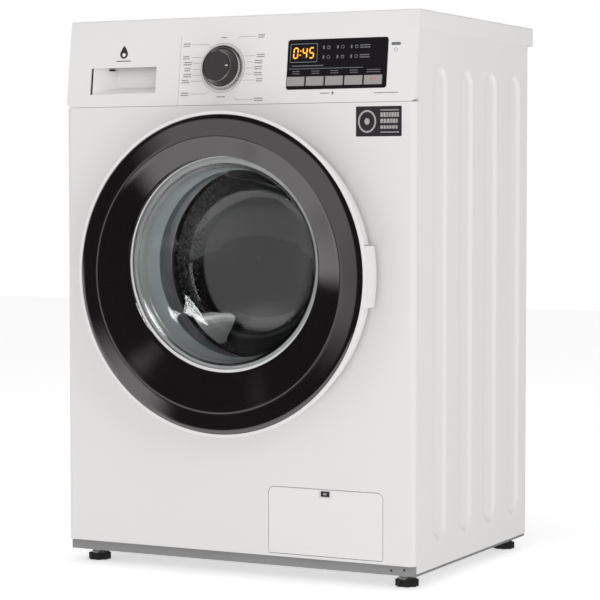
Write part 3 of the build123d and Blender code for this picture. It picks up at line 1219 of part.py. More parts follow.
PARTS = {
    "side_left": side_left, "side_right": side_right, "inner_frame": inner_frame,
    "rear_panel": rear_panel, "base_pan": base_pan,
    "front_panel": front_panel, "service_flap": service_flap, "worktop": worktop,
    "control_panel": control_panel, "display_lens": display_lens,
    "control_board": control_board, "program_dial": program_dial, "drawer_front": drawer_front,
    "drawer_tray": drawer_tray, "dispenser_housing": dispenser_housing, "inlet_valve": inlet_valve,
    "fill_hose": fill_hose, "cord_gland": cord_gland, "panel_screws": panel_screws,
    "door_lock": door_lock, "drain_pump": drain_pump, "pump_filter": pump_filter,
    "sump_hose": sump_hose, "drain_hose": drain_hose, "dispenser_hose": dispenser_hose,
    "tub_front": tub_front, "tub_rear": tub_rear, "heater": heater,
    "counterweights": counterweights, "drum_bearings": drum_bearings, "drum_shell": drum_shell,
    "drum_back": drum_back, "drum_lifters": drum_lifters, "drum_spider": drum_spider,
    "drum_pulley": drum_pulley, "drive_belt": drive_belt, "motor_body": motor_body,
    "motor_pulley": motor_pulley, "damper_cylinders": damper_cylinders, "damper_rods": damper_rods,
    "suspension_springs": suspension_springs, "door_gasket": door_gasket, "gasket_clamp": gasket_clamp,
    "door_cover": door_cover, "door_rim": door_rim, "door_inner_frame": door_inner_frame,
    "door_glass": door_glass, "hinge_bracket": hinge_bracket, "hinge_leaf": hinge_leaf,
    "door_handle": door_handle, "latch_hook": latch_hook,
}


def write(name, shape):
    """Write one sub-part, shifted to the middle of the footprint."""
    export_step(Pos(0, -FOOTPRINT_MIDDLE, 0) * shape, f"parts/{name}.step")


os.makedirs("parts", exist_ok=True)
for name, make in PARTS.items():
    write(name, make())
for index in range(BUTTON_COUNT):
    write(f"push_button_{index + 1}", push_button(index))
for name, (x, y) in foot_places().items():
    write(name, foot(x, y))
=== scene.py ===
import math
import random

import bmesh
import bpy
from mathutils import Matrix, Vector


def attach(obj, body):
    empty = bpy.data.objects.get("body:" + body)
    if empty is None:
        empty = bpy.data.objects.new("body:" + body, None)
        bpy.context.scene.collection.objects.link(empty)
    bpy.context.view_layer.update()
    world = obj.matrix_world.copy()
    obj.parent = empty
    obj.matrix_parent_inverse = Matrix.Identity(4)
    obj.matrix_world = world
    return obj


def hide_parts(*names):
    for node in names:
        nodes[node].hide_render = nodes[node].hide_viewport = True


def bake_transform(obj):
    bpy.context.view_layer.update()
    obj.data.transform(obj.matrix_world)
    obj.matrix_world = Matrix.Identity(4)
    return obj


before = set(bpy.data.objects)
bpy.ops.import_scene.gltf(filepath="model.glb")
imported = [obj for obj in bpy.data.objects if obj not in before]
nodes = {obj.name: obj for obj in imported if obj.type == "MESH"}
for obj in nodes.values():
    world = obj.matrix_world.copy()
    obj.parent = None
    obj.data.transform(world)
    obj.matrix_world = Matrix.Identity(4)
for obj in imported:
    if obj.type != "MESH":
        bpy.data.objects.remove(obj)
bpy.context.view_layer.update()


# ---------------------------------------------------------------------------
# Studio. A pale floor and a white surround, soft lamps at the left, right and
# top and a small one in the drum. Shiny surfaces meet a dark room instead, with
# a pale screen in front of the machine and a pale floor near it and at its left.
# ---------------------------------------------------------------------------
camera_data = bpy.data.cameras.new("camera")
camera_data.sensor_width = 36.0
camera_data.lens = 132.04
camera_data.clip_end = 60.0
camera = bpy.data.objects.new("camera", camera_data)
camera.location = (1.5935, -3.1290, 0.5874)
camera.rotation_euler = (math.radians(87.129), 0.0, math.radians(26.889))
bpy.context.scene.collection.objects.link(camera)
bpy.context.scene.camera = camera
bpy.context.scene.view_settings.view_transform = "Standard"


def soft_lamp(name, place, width, height, power):
    """A rectangular studio lamp that looks at the middle of the machine."""
    lamp = bpy.data.lights.new(name, "AREA")
    lamp.shape = "RECTANGLE"
    lamp.size = width
    lamp.size_y = height
    lamp.energy = power
    holder = bpy.data.objects.new(name, lamp)
    holder.location = place
    holder.rotation_euler = (Vector((0.0, 0.0, 0.45)) - Vector(place)).to_track_quat("-Z", "Y").to_euler()
    holder.visible_glossy = False
    bpy.context.scene.collection.objects.link(holder)


soft_lamp("lamp_left", (-2.0, -3.4, 1.9), 1.4, 1.8, 8)
soft_lamp("lamp_right", (2.8, -1.75, 1.6), 1.2, 2.4, 22)
soft_lamp("lamp_above", (0.2, -0.4, 3.2), 2.4, 1.6, 9)
soft_lamp("drum_lamp", (0.06, -0.08, 0.60), 0.10, 0.10, 1.2)

air = bpy.data.worlds.new("studio_air")
air.use_nodes = True
bpy.context.scene.world = air
air_tree = air.node_tree
air_tree.nodes.clear()
way = air_tree.nodes.new("ShaderNodeTexCoord")
way_parts = air_tree.nodes.new("ShaderNodeSeparateXYZ")
air_tree.links.new(way.outputs["Generated"], way_parts.inputs[0])


def soft_step(axis, low, high):
    """One when the direction's part along an axis is at high, nought at low, and smooth between."""
    step = air_tree.nodes.new("ShaderNodeMapRange")
    step.interpolation_type = "SMOOTHSTEP"
    step.inputs["From Min"].default_value = low
    step.inputs["From Max"].default_value = high
    air_tree.links.new(way_parts.outputs[axis], step.inputs["Value"])
    return step.outputs[0]


def both(one, two):
    """The product of two values."""
    product = air_tree.nodes.new("ShaderNodeMath")
    product.operation = "MULTIPLY"
    for socket, value in zip(product.inputs, (one, two)):
        air_tree.links.new(value, socket)
    return product.outputs[0]


def glow(colour, strength):
    """A plain glow of the air."""
    background = air_tree.nodes.new("ShaderNodeBackground")
    background.inputs["Color"].default_value = (*colour, 1.0)
    background.inputs["Strength"].default_value = strength
    return background.outputs[0]


def choose(share, one, two):
    """A mixture of two glows."""
    mixture = air_tree.nodes.new("ShaderNodeMixShader")
    for socket, value in zip(mixture.inputs, (share, one, two)):
        air_tree.links.new(value, socket)
    return mixture.outputs[0]


screen = both(both(soft_step("X", -0.74, -0.60), soft_step("X", 0.07, -0.06)),
              both(soft_step("Z", -0.36, -0.10), soft_step("Z", 0.50, 0.38)))
left_floor = both(soft_step("X", -0.60, -0.69), soft_step("Z", -0.14, -0.32))
left_edge = both(soft_step("X", -0.86, -0.95), soft_step("Z", 0.02, -0.07))
dark_room = choose(both(screen, soft_step("Y", -0.40, -0.62)), glow((1.0, 0.96, 0.98), 0.025),
                   glow((1.0, 0.95, 0.98), 0.75))
for patch in (left_floor, left_edge, soft_step("Z", -0.47, -0.58)):
    dark_room = choose(patch, dark_room, glow((1.0, 0.97, 0.985), 1.15))
ray = air_tree.nodes.new("ShaderNodeLightPath")
lit_room = choose(ray.outputs["Is Glossy Ray"], glow((1.0, 1.0, 1.0), 0.62), dark_room)
air_out = air_tree.nodes.new("ShaderNodeOutputWorld")
whole_room = choose(ray.outputs["Is Camera Ray"], lit_room, glow((1.0, 1.0, 1.0), 1.0))
air_tree.links.new(whole_room, air_out.inputs["Surface"])


def surface(name, colour, rough, metal=0.0, grain=900.0, relief=0.00002, shade=0.03, spread=0.05,
            stretch=(1.0, 1.0, 1.0), gloss=1.5, coat=0.0):
    """A finish whose tone, roughness and relief vary with a fine and a coarse noise."""
    material = bpy.data.materials.new(name)
    material.use_nodes = True
    tree = material.node_tree
    shader = tree.nodes["Principled BSDF"]
    shader.inputs["Metallic"].default_value = metal
    shader.inputs["IOR"].default_value = gloss
    shader.inputs["Coat Weight"].default_value = coat
    place = tree.nodes.new("ShaderNodeTexCoord")
    lay = tree.nodes.new("ShaderNodeMapping")
    lay.inputs["Scale"].default_value = stretch
    fine = tree.nodes.new("ShaderNodeTexNoise")
    fine.inputs["Scale"].default_value = grain
    fine.inputs["Detail"].default_value = 3.0
    coarse = tree.nodes.new("ShaderNodeTexNoise")
    coarse.inputs["Scale"].default_value = 6.0
    coarse.inputs["Detail"].default_value = 4.0
    tone = tree.nodes.new("ShaderNodeMapRange")
    tone.inputs["To Min"].default_value = max(rough - spread, 0.0)
    tone.inputs["To Max"].default_value = rough + spread
    tint = tree.nodes.new("ShaderNodeMix")
    tint.data_type = "RGBA"
    tint.inputs[6].default_value = (*[part * (1.0 - shade) for part in colour], 1.0)
    tint.inputs[7].default_value = (*colour, 1.0)
    bump = tree.nodes.new("ShaderNodeBump")
    bump.inputs["Strength"].default_value = 0.5
    bump.inputs["Distance"].default_value = relief
    tree.links.new(place.outputs["Object"], lay.inputs["Vector"])
    tree.links.new(lay.outputs[0], fine.inputs["Vector"])
    tree.links.new(place.outputs["Object"], coarse.inputs["Vector"])
    tree.links.new(fine.outputs["Fac"], tone.inputs["Value"])
    tree.links.new(tone.outputs[0], shader.inputs["Roughness"])
    tree.links.new(coarse.outputs["Fac"], tint.inputs[0])
    tree.links.new(tint.outputs[2], shader.inputs["Base Color"])
    tree.links.new(fine.outputs["Fac"], bump.inputs["Height"])
    tree.links.new(bump.outputs[0], shader.inputs["Normal"])
    return material


floor_finish = surface("studio_floor", (0.93, 0.93, 0.93), 0.6, grain=30.0)
floor_glow = floor_finish.node_tree.nodes["Principled BSDF"]
floor_glow.inputs["Emission Color"].default_value = (1.0, 1.0, 1.0, 1.0)
floor_glow.inputs["Emission Strength"].default_value = 0.47
reach = 7.0
floor_mesh = bpy.data.meshes.new("studio_floor")
floor_mesh.from_pydata([(-reach, -reach, 0), (reach, -reach, 0), (reach, reach, 0), (-reach, reach, 0)], [],
                       [(0, 1, 2, 3)])
floor_mesh.materials.append(floor_finish)
studio_floor = bpy.data.objects.new("studio_floor", floor_mesh)
bpy.context.scene.collection.objects.link(studio_floor)
studio_floor.visible_glossy = False


# ---------------------------------------------------------------------------
# Base pan. A shallow pressed tray of zinc coated steel, its front edge set
# back under the front panel, with two small fixing holes by the right corner,
# drawn as near-black discs of painted shade.
# ---------------------------------------------------------------------------
def dress(finish, *names):
    """Gives CAD nodes one finish."""
    for name in names:
        nodes[name].data.materials.clear()
        nodes[name].data.materials.append(finish)
        for face in nodes[name].data.polygons:
            face.material_index = 0


def mm(x, y, z):
    """A place in millimetres, with Y counted back from the front panel's outer face, as a vector in metres."""
    return Vector((x, y - 207.5, z)) * 0.001


def wrap_faces(rings, around, first=0):
    """Four sided faces between rings of points, each ring closed on itself."""
    faces = []
    for ring in range(rings - 1):
        near, far = first + ring * around, first + (ring + 1) * around
        for step in range(around):
            following = (step + 1) % around
            faces.append((near + step, near + following, far + following, far + step))
    return faces


def add_piece(name, points, faces, body, finish, smooth=True):
    """A mesh that rides on a body, or on none when no body is given."""
    mesh = bpy.data.meshes.new(name)
    mesh.from_pydata([tuple(point) for point in points], [], faces)
    tidy = bmesh.new()
    tidy.from_mesh(mesh)
    bmesh.ops.remove_doubles(tidy, verts=tidy.verts, dist=1e-7)
    bmesh.ops.recalc_face_normals(tidy, faces=tidy.faces)
    tidy.to_mesh(mesh)
    tidy.free()
    mesh.materials.append(finish)
    for face in mesh.polygons:
        face.use_smooth = smooth
    if smooth:
        mesh.set_sharp_from_angle(angle=math.radians(38))
    piece = bpy.data.objects.new(name, mesh)
    bpy.context.scene.collection.objects.link(piece)
    if body:
        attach(piece, body)
    return piece


zinc = surface("zinc_coating", (0.40, 0.40, 0.40), 0.42, metal=0.35, grain=140.0, relief=0.00003, shade=0.22)
dress(zinc, "base_pan")


def disc(x, z, radius, y, count=20):
    """A small round face looking forward, as points and one face."""
    turns = [2 * math.pi * i / count for i in range(count)]
    points = [mm(x + radius * math.cos(turn), y, z + radius * math.sin(turn)) for turn in turns]
    return points, [tuple(range(count))]


# The fixing holes are not cut: flat near-black discs on the pan's face are painted shade standing in for the
# open holes.
hole_shade_finish = surface("hole_painted_shade", (0.012, 0.012, 0.012), 0.8)
for index, (hole_x, hole_z) in enumerate(((258.0, 27.0), (279.0, 29.0))):
    hole_points, hole_faces = disc(hole_x, hole_z, 1.8, 9.44)
    add_piece(f"base_hole_shade_{index + 1}", hole_points, hole_faces, "cabinet", hole_shade_finish, smooth=False)


# ---------------------------------------------------------------------------
# Screw feet. A lobed black rubber pad moulded under a plated hexagon and a
# threaded steel stem, screwed up into the base pan.
# ---------------------------------------------------------------------------
foot_rubber = surface("foot_rubber", (0.022, 0.021, 0.020), 0.75, grain=420.0, relief=0.0004, shade=0.35)
foot_steel = surface("foot_steel", (0.52, 0.52, 0.50), 0.35, metal=0.9, grain=300.0, shade=0.2)
for corner in ("front_left", "front_right", "back_left", "back_right"):
    foot = nodes[f"foot_{corner}"]
    dress(foot_rubber, foot.name)
    foot.data.materials.append(foot_steel)
    for face in foot.data.polygons:
        if (foot.matrix_world @ face.center).z > 0.0102:
            face.material_index = 1
    pad_edge = foot.modifiers.new("pad_edge", "BEVEL")
    pad_edge.width = 0.0012
    pad_edge.segments = 3
    pad_edge.angle_limit = math.radians(50)


# ---------------------------------------------------------------------------
# Side sheets. Enamelled steel, 1 mm thick, each with four long ribs pressed
# inwards with soft walls and round ends, and folded in behind the front.
# ---------------------------------------------------------------------------
half_width = 298.5
white_enamel = surface("white_enamel", (0.80, 0.79, 0.783), 0.36, grain=1500.0, relief=0.000008, shade=0.012)


fascia_foot, fascia_foot_y, fascia_lean = 715.5, 0.5, 13.0 / 105.5


def fascia_front(z):
    """How far back the leaning fascia's face stands at a height."""
    return fascia_foot_y + (z - fascia_foot) * fascia_lean


rib_first, rib_pitch, rib_low, rib_high = 94.0, 99.5, 62.0, 770.0
rib_half, rib_wall, rib_sunk = 25.0, 8.5, 4.0


def rib_depth(y, z):
    """Depth of the pressing at a place on a side sheet."""
    deepest = 0.0
    for index in range(4):
        near_z = min(max(z, rib_low + rib_half), rib_high - rib_half)
        inside = rib_half - math.hypot(y - rib_first - rib_pitch * index, z - near_z)
        share = min(max(inside / rib_wall, 0.0), 1.0)
        deepest = max(deepest, rib_sunk * share * share * (3.0 - 2.0 * share))
    return deepest


rib_rows = [24.0, 30.0, 40.0, 52.0] + [60.0 + 1.6 * i for i in range(22)]
rib_rows += [96.0 + 32.0 * i for i in range(20)] + [730.0 + 1.6 * i for i in range(28)]
rib_rows += [778.0, 790.0, 805.0, 821.0]
rib_columns = [32.0, 46.0, 60.0] + [66.0 + 1.9 * i for i in range(193)] + [440.0, 450.0]
for side, side_name in ((-1, "side_left"), (1, "side_right")):
    side_points, side_faces = [], []
    for layer in (0.0, 1.0):
        for z in rib_rows:
            edge = 11.0 if z < fascia_foot - 0.5 else fascia_front(z) + 10.5
            side_points.append(mm(side * (half_width - 18.0), edge + layer, z))
            side_points.append(mm(side * (half_width - layer), edge + layer, z))
            for y in rib_columns:
                side_points.append(mm(side * (half_width - layer - rib_depth(y, z)), y, z))
    wide = len(rib_columns) + 2
    tall = len(rib_rows)
    for row in range(tall - 1):
        for column in range(wide - 1):
            first = row * wide + column
            side_faces.append((first, first + 1, first + wide + 1, first + wide))
            first += tall * wide
            side_faces.append((first, first + wide, first + wide + 1, first + 1))
    rim_loop = [i for i in range(wide)] + [r * wide + wide - 1 for r in range(1, tall)]
    rim_loop += [(tall - 1) * wide + i for i in range(wide - 2, -1, -1)]
    rim_loop += [r * wide for r in range(tall - 2, 0, -1)]
    for index, corner in enumerate(rim_loop):
        following = rim_loop[(index + 1) % len(rim_loop)]
        side_faces.append((corner, following, following + tall * wide, corner + tall * wide))
    sheet = add_piece(f"{side_name}_sheet", side_points, side_faces, "cabinet", white_enamel)
    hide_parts(side_name)


# ---------------------------------------------------------------------------
# Back of the cabinet. Zinc coated frame and rails, a screwed cover with a
# pressed dish, zinc screws, a black cord gland and the inlet valve.
# ---------------------------------------------------------------------------
spangle = surface("spangled_zinc", (0.50, 0.51, 0.52), 0.38, metal=0.8, grain=60.0, relief=0.00002, shade=0.2)
crystal = spangle.node_tree.nodes.new("ShaderNodeTexVoronoi")
crystal.inputs["Scale"].default_value = 70.0
spangle_tint = next(node for node in spangle.node_tree.nodes if node.bl_idname == "ShaderNodeMix")
spangle.node_tree.links.new(crystal.outputs["Distance"], spangle_tint.inputs[0])
dress(spangle, "inner_frame", "rear_panel")
bright_steel = surface("bright_steel", (0.60, 0.60, 0.61), 0.28, metal=1.0, grain=500.0, stretch=(1, 14, 1))
dress(bright_steel, "panel_screws", "drum_bearings", "motor_pulley", "damper_rods", "hinge_leaf",
      "hinge_bracket", "latch_hook", "heater")
dark_moulding = surface("dark_moulding", (0.020, 0.020, 0.022), 0.42, grain=1400.0, relief=0.00001)
dress(dark_moulding, "cord_gland", "door_lock", "drain_pump", "pump_filter")
valve_nylon = surface("valve_nylon", (0.55, 0.56, 0.55), 0.4, grain=900.0)
dress(valve_nylon, "inlet_valve")
hose_rubber = surface("hose_rubber", (0.030, 0.030, 0.031), 0.55, grain=800.0, relief=0.00004)
dress(hose_rubber, "drain_hose", "fill_hose", "drive_belt")


# ---------------------------------------------------------------------------
# Tub, weights, motor and dampers. Filled grey plastic halves joined at a
# flange, cast concrete weights, a motor with an alloy can, zinc dampers.
# ---------------------------------------------------------------------------
tub_plastic = surface("tub_plastic", (0.34, 0.35, 0.36), 0.5, grain=600.0, relief=0.00004, shade=0.1)
dress(tub_plastic, "tub_front", "tub_rear", "drawer_tray", "dispenser_housing")
concrete = surface("cast_concrete", (0.33, 0.32, 0.30), 0.9, grain=220.0, relief=0.0004, shade=0.3)
dress(concrete, "counterweights")
cast_metal = surface("cast_metal", (0.5, 0.5, 0.51), 0.45, metal=1.0, grain=500.0, relief=0.00008, shade=0.15)
dress(cast_metal, "drum_spider", "drum_pulley", "motor_body")
dress(zinc, "damper_cylinders", "gasket_clamp")


# ---------------------------------------------------------------------------
# Hoses and springs. Black rubber bellows from the dispenser to the tub and
# from the tub to the pump, and two wound steel springs that hang the tub.
# ---------------------------------------------------------------------------
def bellows(name, node, x, y, low, high, radius):
    """A ribbed upright hose from the body at its low end to the one at its high end, riding on no body."""
    points, around = [], 40
    cuff, bellow_pitch, bellow_depth = 9.0, 7.0, 1.6
    steps = int((high - low) / 1.5)
    for step_up in range(steps + 1):
        z = low + (high - low) * step_up / steps
        out = radius - bellow_depth
        if min(z - low, high - z) >= cuff:
            out += bellow_depth * math.sin((z - low) * 2 * math.pi / bellow_pitch)
        for step in range(around):
            angle = 2 * math.pi * step / around
            points.append(mm(x + out * math.cos(angle), y + out * math.sin(angle), z))
    hose = add_piece(name, points, wrap_faces(steps + 1, around), None, hose_rubber)
    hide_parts(node)
    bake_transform(hose)


bellows("dispenser_bellows", "dispenser_hose", -132.0, 120.0, 704.9, 722.0, 17.0)
bellows("sump_bellows", "sump_hose", 142.0, 118.0, 123.0, 247.6, 17.0)
spring_steel = surface("spring_steel", (0.32, 0.32, 0.33), 0.35, metal=1.0, grain=400.0)
spring_x, spring_y, spring_foot, spring_head = 236.0, 285.0, 640.0, 768.0
coil_radius, wire_radius, hook_radius, turns = 11.0, 2.0, 2.2, 26
coil_points, coil_faces, coil_around, coil_steps = [], [], 8, turns * 30
for side in (-1, 1):
    start = len(coil_points)
    for step in range(coil_steps + 1):
        share = step / coil_steps
        angle = 2 * math.pi * turns * share
        z = spring_foot + (spring_head - spring_foot) * share
        for wire in range(coil_around):
            bend = 2 * math.pi * wire / coil_around
            out = coil_radius + wire_radius * math.cos(bend)
            coil_points.append(mm(side * spring_x + out * math.cos(angle), spring_y + out * math.sin(angle),
                                  z + wire_radius * math.sin(bend)))
    coil_faces += wrap_faces(coil_steps + 1, coil_around, start)
    for low, high in ((604.2, 641.0), (767.0, 805.8)):
        start = len(coil_points)
        for z in (low, high):
            for wire in range(coil_around):
                bend = 2 * math.pi * wire / coil_around
                coil_points.append(mm(side * spring_x + hook_radius * math.cos(bend),
                                      spring_y + hook_radius * math.sin(bend), z))
        coil_faces += wrap_faces(2, coil_around, start)
springs = add_piece("wound_springs", coil_points, coil_faces, None, spring_steel)
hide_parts("suspension_springs")
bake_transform(springs)


# ---------------------------------------------------------------------------
# Drum. Rolled stainless steel pierced with staggered slots, a rounded mouth,
# and a plain back with a few drain holes.
# ---------------------------------------------------------------------------
drum_steel = surface("drum_steel", (0.24, 0.235, 0.235), 0.24, metal=1.0, grain=220.0, stretch=(1, 18, 1),
                     shade=0.1)
window_height = 475.0
drum_points, drum_faces = [], []
cells_round, cells_deep, slot_start, slot_pitch = 150, 30, 92.0, 7.4
slot_half_long, slot_half_wide = 2.9, 1.55
drum_radius, drum_front, drum_rear, mouth_radius = 235.4, 78.0, 325.0, 152.0


def on_drum(angle, y, radius=drum_radius):
    """A place on a round wall about the drum's axis."""
    return mm(radius * math.sin(angle), y, window_height + radius * math.cos(angle))


for row in range(cells_deep + 1):
    for column in range(cells_round):
        drum_points.append(on_drum(2 * math.pi * column / cells_round, slot_start + row * slot_pitch))
for row in range(cells_deep):
    for column in range(cells_round):
        corners = [row * cells_round + column, row * cells_round + (column + 1) % cells_round,
                   (row + 1) * cells_round + (column + 1) % cells_round, (row + 1) * cells_round + column]
        middle_angle = 2 * math.pi * (column + (0.36 if row % 2 else 0.64)) / cells_round
        middle_y = slot_start + (row + 0.5) * slot_pitch
        first = len(drum_points)
        for point in range(8):
            turn = math.pi * (point / 4 - 0.75)
            drum_points.append(on_drum(middle_angle + slot_half_long / drum_radius * math.cos(turn),
                                       middle_y + slot_half_wide * math.sin(turn)))
        for edge in range(4):
            drum_faces.append((corners[edge], corners[(edge + 1) % 4], first + (2 * edge + 2) % 8,
                               first + 2 * edge + 1, first + 2 * edge))
mouth_outline = [(mouth_radius, drum_front + 12.0), (mouth_radius, drum_front + 3.0),
                 (mouth_radius + 0.8, drum_front + 0.6), (mouth_radius + 3.0, drum_front), (190.0, drum_front),
                 (228.0, drum_front), (233.5, drum_front + 1.0), (drum_radius, drum_front + 4.0),
                 (drum_radius, slot_start)]
rear_outline = [(drum_radius, slot_start + cells_deep * slot_pitch), (drum_radius, drum_rear)]
for outline in (mouth_outline, rear_outline):
    first = len(drum_points)
    for radius, y in outline:
        for column in range(cells_round):
            drum_points.append(on_drum(2 * math.pi * column / cells_round, y, radius))
    drum_faces += wrap_faces(len(outline), cells_round, first)
drum_wall = add_piece("pierced_drum", drum_points, drum_faces, "drum", drum_steel)
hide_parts("drum_shell")
dress(drum_steel, "drum_back")


# ---------------------------------------------------------------------------
# Lifters. Three hollow grey plastic paddles clipped inside the drum wall,
# with a rounded crown, a sloping nose and rows of small dimples.
# ---------------------------------------------------------------------------
paddle_plastic = surface("paddle_plastic", (0.55, 0.56, 0.56), 0.34, grain=900.0, shade=0.06)
paddle_points, paddle_faces = [], []
paddle_long, paddle_across = 116, 56
paddle_front, paddle_length, paddle_height, paddle_half = 92.0, 218.0, 47.0, 31.0
dimple_start, dimple_pitch, dimple_radius, dimple_depth = 150.0, 15.0, 3.4, 1.5
for lifter in range(3):
    middle_angle = math.radians(118.0 + 120.0 * lifter)
    first = len(paddle_points)
    for step in range(paddle_long + 1):
        along = step / paddle_long
        y = paddle_front + paddle_length * along
        nose = min(along / 0.42, 1.0)
        tail = min((1.0 - along) / 0.08, 1.0)
        rise = paddle_height * math.sin(0.5 * math.pi * nose) * math.sin(0.5 * math.pi * tail)
        foot_half = paddle_half * (0.35 + 0.65 * math.sin(0.5 * math.pi * nose))
        for place in range(paddle_across + 1):
            share = -1.0 + 2.0 * place / paddle_across
            lift = rise * (1.0 - abs(share) ** 1.7)
            dimple_y = (y - dimple_start) / dimple_pitch
            dimple_share = abs(share) * 5.0
            near = math.hypot((dimple_y - round(dimple_y)) * dimple_pitch,
                              (dimple_share - round(dimple_share)) * 7.4)
            if 0.5 < dimple_share < 4.6 and 0 <= round(dimple_y) <= 8:
                lift -= dimple_depth * max(0.0, 1.0 - (near / dimple_radius) ** 2)
            paddle_points.append(on_drum(middle_angle + foot_half * share / 235.0, y, 234.6 - max(lift, 0.0)))
    for step in range(paddle_long):
        for place in range(paddle_across):
            one = first + step * (paddle_across + 1) + place
            paddle_faces.append((one, one + 1, one + paddle_across + 2, one + paddle_across + 1))
paddles = add_piece("dimpled_paddles", paddle_points, paddle_faces, "drum", paddle_plastic)
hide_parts("drum_lifters")


# ---------------------------------------------------------------------------
# Door gasket. Soft grey moulded rubber: a broad band round the mouth, given a
# lighter colour as painted light, and a fold behind it that is clamped on the
# tub's neck, given a darker colour as painted shade.
# ---------------------------------------------------------------------------
def turn_outline(outline, height=window_height, around=160):
    """Points and faces of an open outline of (radius, y) turned about a line along Y."""
    points = []
    for radius, y in outline:
        for step in range(around):
            angle = 2 * math.pi * step / around
            points.append(mm(radius * math.sin(angle), y, height + radius * math.cos(angle)))
    return points, wrap_faces(len(outline), around)


# Both finishes are one grey rubber: the band's pale colour is painted light and the fold's dark colour is
# painted shade.
gasket_painted_light = surface("gasket_painted_light", (0.80, 0.84, 0.86), 0.38, grain=500.0, relief=0.00003, shade=0.05)
gasket_painted_shade = surface("gasket_painted_shade", (0.24, 0.255, 0.27), 0.42, grain=500.0, relief=0.00003, shade=0.1)
band_outline = [(157.0, 14.5), (159.4, 12.0), (159.4, -2.0), (158.6, -4.2), (157.0, -4.6), (156.3, -3.0),
                (156.1, 2.0), (154.0, 10.0), (150.0, 19.0), (147.4, 23.0), (146.3, 24.6), (147.6, 26.0),
                (151.0, 27.5), (154.0, 30.5), (155.2, 34.0), (155.0, 38.0)]
band_points, band_faces = turn_outline(band_outline)
gasket_band = add_piece("gasket_band", band_points, band_faces, "cabinet", gasket_painted_light)
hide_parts("door_gasket")
fold_outline = [(155.0, 38.0), (153.4, 41.0), (149.6, 42.6), (148.4, 44.0), (149.8, 45.6), (153.4, 46.6),
                (156.0, 48.0), (156.4, 52.0), (155.6, 58.0), (153.6, 63.0)]
fold_points, fold_faces = turn_outline(fold_outline)
gasket_fold = add_piece("gasket_fold", fold_points, fold_faces, None, gasket_painted_shade)
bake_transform(gasket_fold)


# ---------------------------------------------------------------------------
# Front panel. One enamelled steel sheet, wrapped round both front corners,
# with the door opening and the opening for the filter flap.
# ---------------------------------------------------------------------------
dress(white_enamel, "front_panel")


# ---------------------------------------------------------------------------
# Filter flap. A white moulding flush with the front, with a small sprung
# catch in the notch at its top edge.
# ---------------------------------------------------------------------------
white_moulding = surface("white_moulding", (0.82, 0.81, 0.803), 0.30, grain=2200.0, relief=0.000006,
                         shade=0.01)
dress(white_moulding, "service_flap", "worktop")
flap_edge = nodes["service_flap"].modifiers.new("flap_edge", "BEVEL")
flap_edge.width = 0.0005
flap_edge.segments = 2
flap_edge.angle_limit = math.radians(50)


def slab(x0, x1, y0, y1, z0, z1):
    """The eight corners and six faces of a block."""
    points = [mm(x, y, z) for z in (z0, z1) for y in (y0, y1) for x in (x0, x1)]
    return points, [(0, 1, 3, 2), (4, 6, 7, 5), (0, 4, 5, 1), (1, 5, 7, 3), (3, 7, 6, 2), (2, 6, 4, 0)]


catch_points, catch_faces = slab(146.5, 160.5, 0.35, 1.24, 130.6, 138.5)
add_piece("flap_catch", catch_points, catch_faces, "flap", dark_moulding, smooth=False)
catch_points, catch_faces = slab(150.5, 156.5, 0.1, 0.36, 133.0, 136.2)
add_piece("flap_tongue", catch_points, catch_faces, "flap", bright_steel, smooth=False)


# ---------------------------------------------------------------------------
# Door. A white rim carries a glossy dark ring with a raised crest; behind it
# an inner frame clamps the thick pressed glass bowl.
# ---------------------------------------------------------------------------
dress(white_moulding, "door_rim", "door_handle")
frame_moulding = surface("frame_moulding", (0.78, 0.79, 0.79), 0.22, grain=1600.0, relief=0.000008,
                         shade=0.03)
dress(frame_moulding, "door_inner_frame")
ring_gloss = surface("ring_gloss", (0.0075, 0.0058, 0.0068), 0.07, grain=700.0, relief=0.0000006, shade=0.2,
                     spread=0.02, gloss=2.0)


funnel_slope, crest_y, funnel_width, off_centre, ring_height = 0.4085, -58.0, 42.3, 14.0, 460.5


def ring_stations():
    """(radius, y, centre's height, share of the funnel's depth), from the window over the crest to the rim."""
    window = window_height
    stations = [(162.0, -31.9, window, 0.0), (162.0, crest_y + 0.8, window, 1.0)]
    stations.append((162.5, crest_y, window - 0.2, 1.0))
    for step in range(1, 12):
        share = step / 12
        height = window - 0.2 - off_centre * share
        stations.append((162.5 + funnel_width * share, crest_y, height, 1.0 - share))
    stations += [(205.2, -58.3, ring_height + 0.2, 0.0), (206.6, -58.9, ring_height, 0.0)]
    for step in range(8):
        share = step / 8
        stations.append((208.2 + 26.0 * share, -58.9 + 5.55 * share, ring_height, 0.0))
    rim_outline = [(235.0, -53.15), (236.6, -52.4), (238.2, -51.0), (238.9, -49.9), (239.0, -48.9),
                   (237.4, -48.2)]
    return stations + [(radius, y, ring_height, 0.0) for radius, y in rim_outline]


ring_points, ring_around = [], 240
for radius, y, height, deep in ring_stations():
    for step in range(ring_around):
        angle = 2 * math.pi * step / ring_around
        sunk = deep * funnel_slope * (funnel_width - off_centre * math.cos(angle))
        ring_points.append(mm(radius * math.sin(angle), y + sunk, height + radius * math.cos(angle)))
ring_faces = wrap_faces(len(ring_stations()), ring_around)
dark_ring = add_piece("dark_ring", ring_points, ring_faces, "door", ring_gloss)
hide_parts("door_cover")

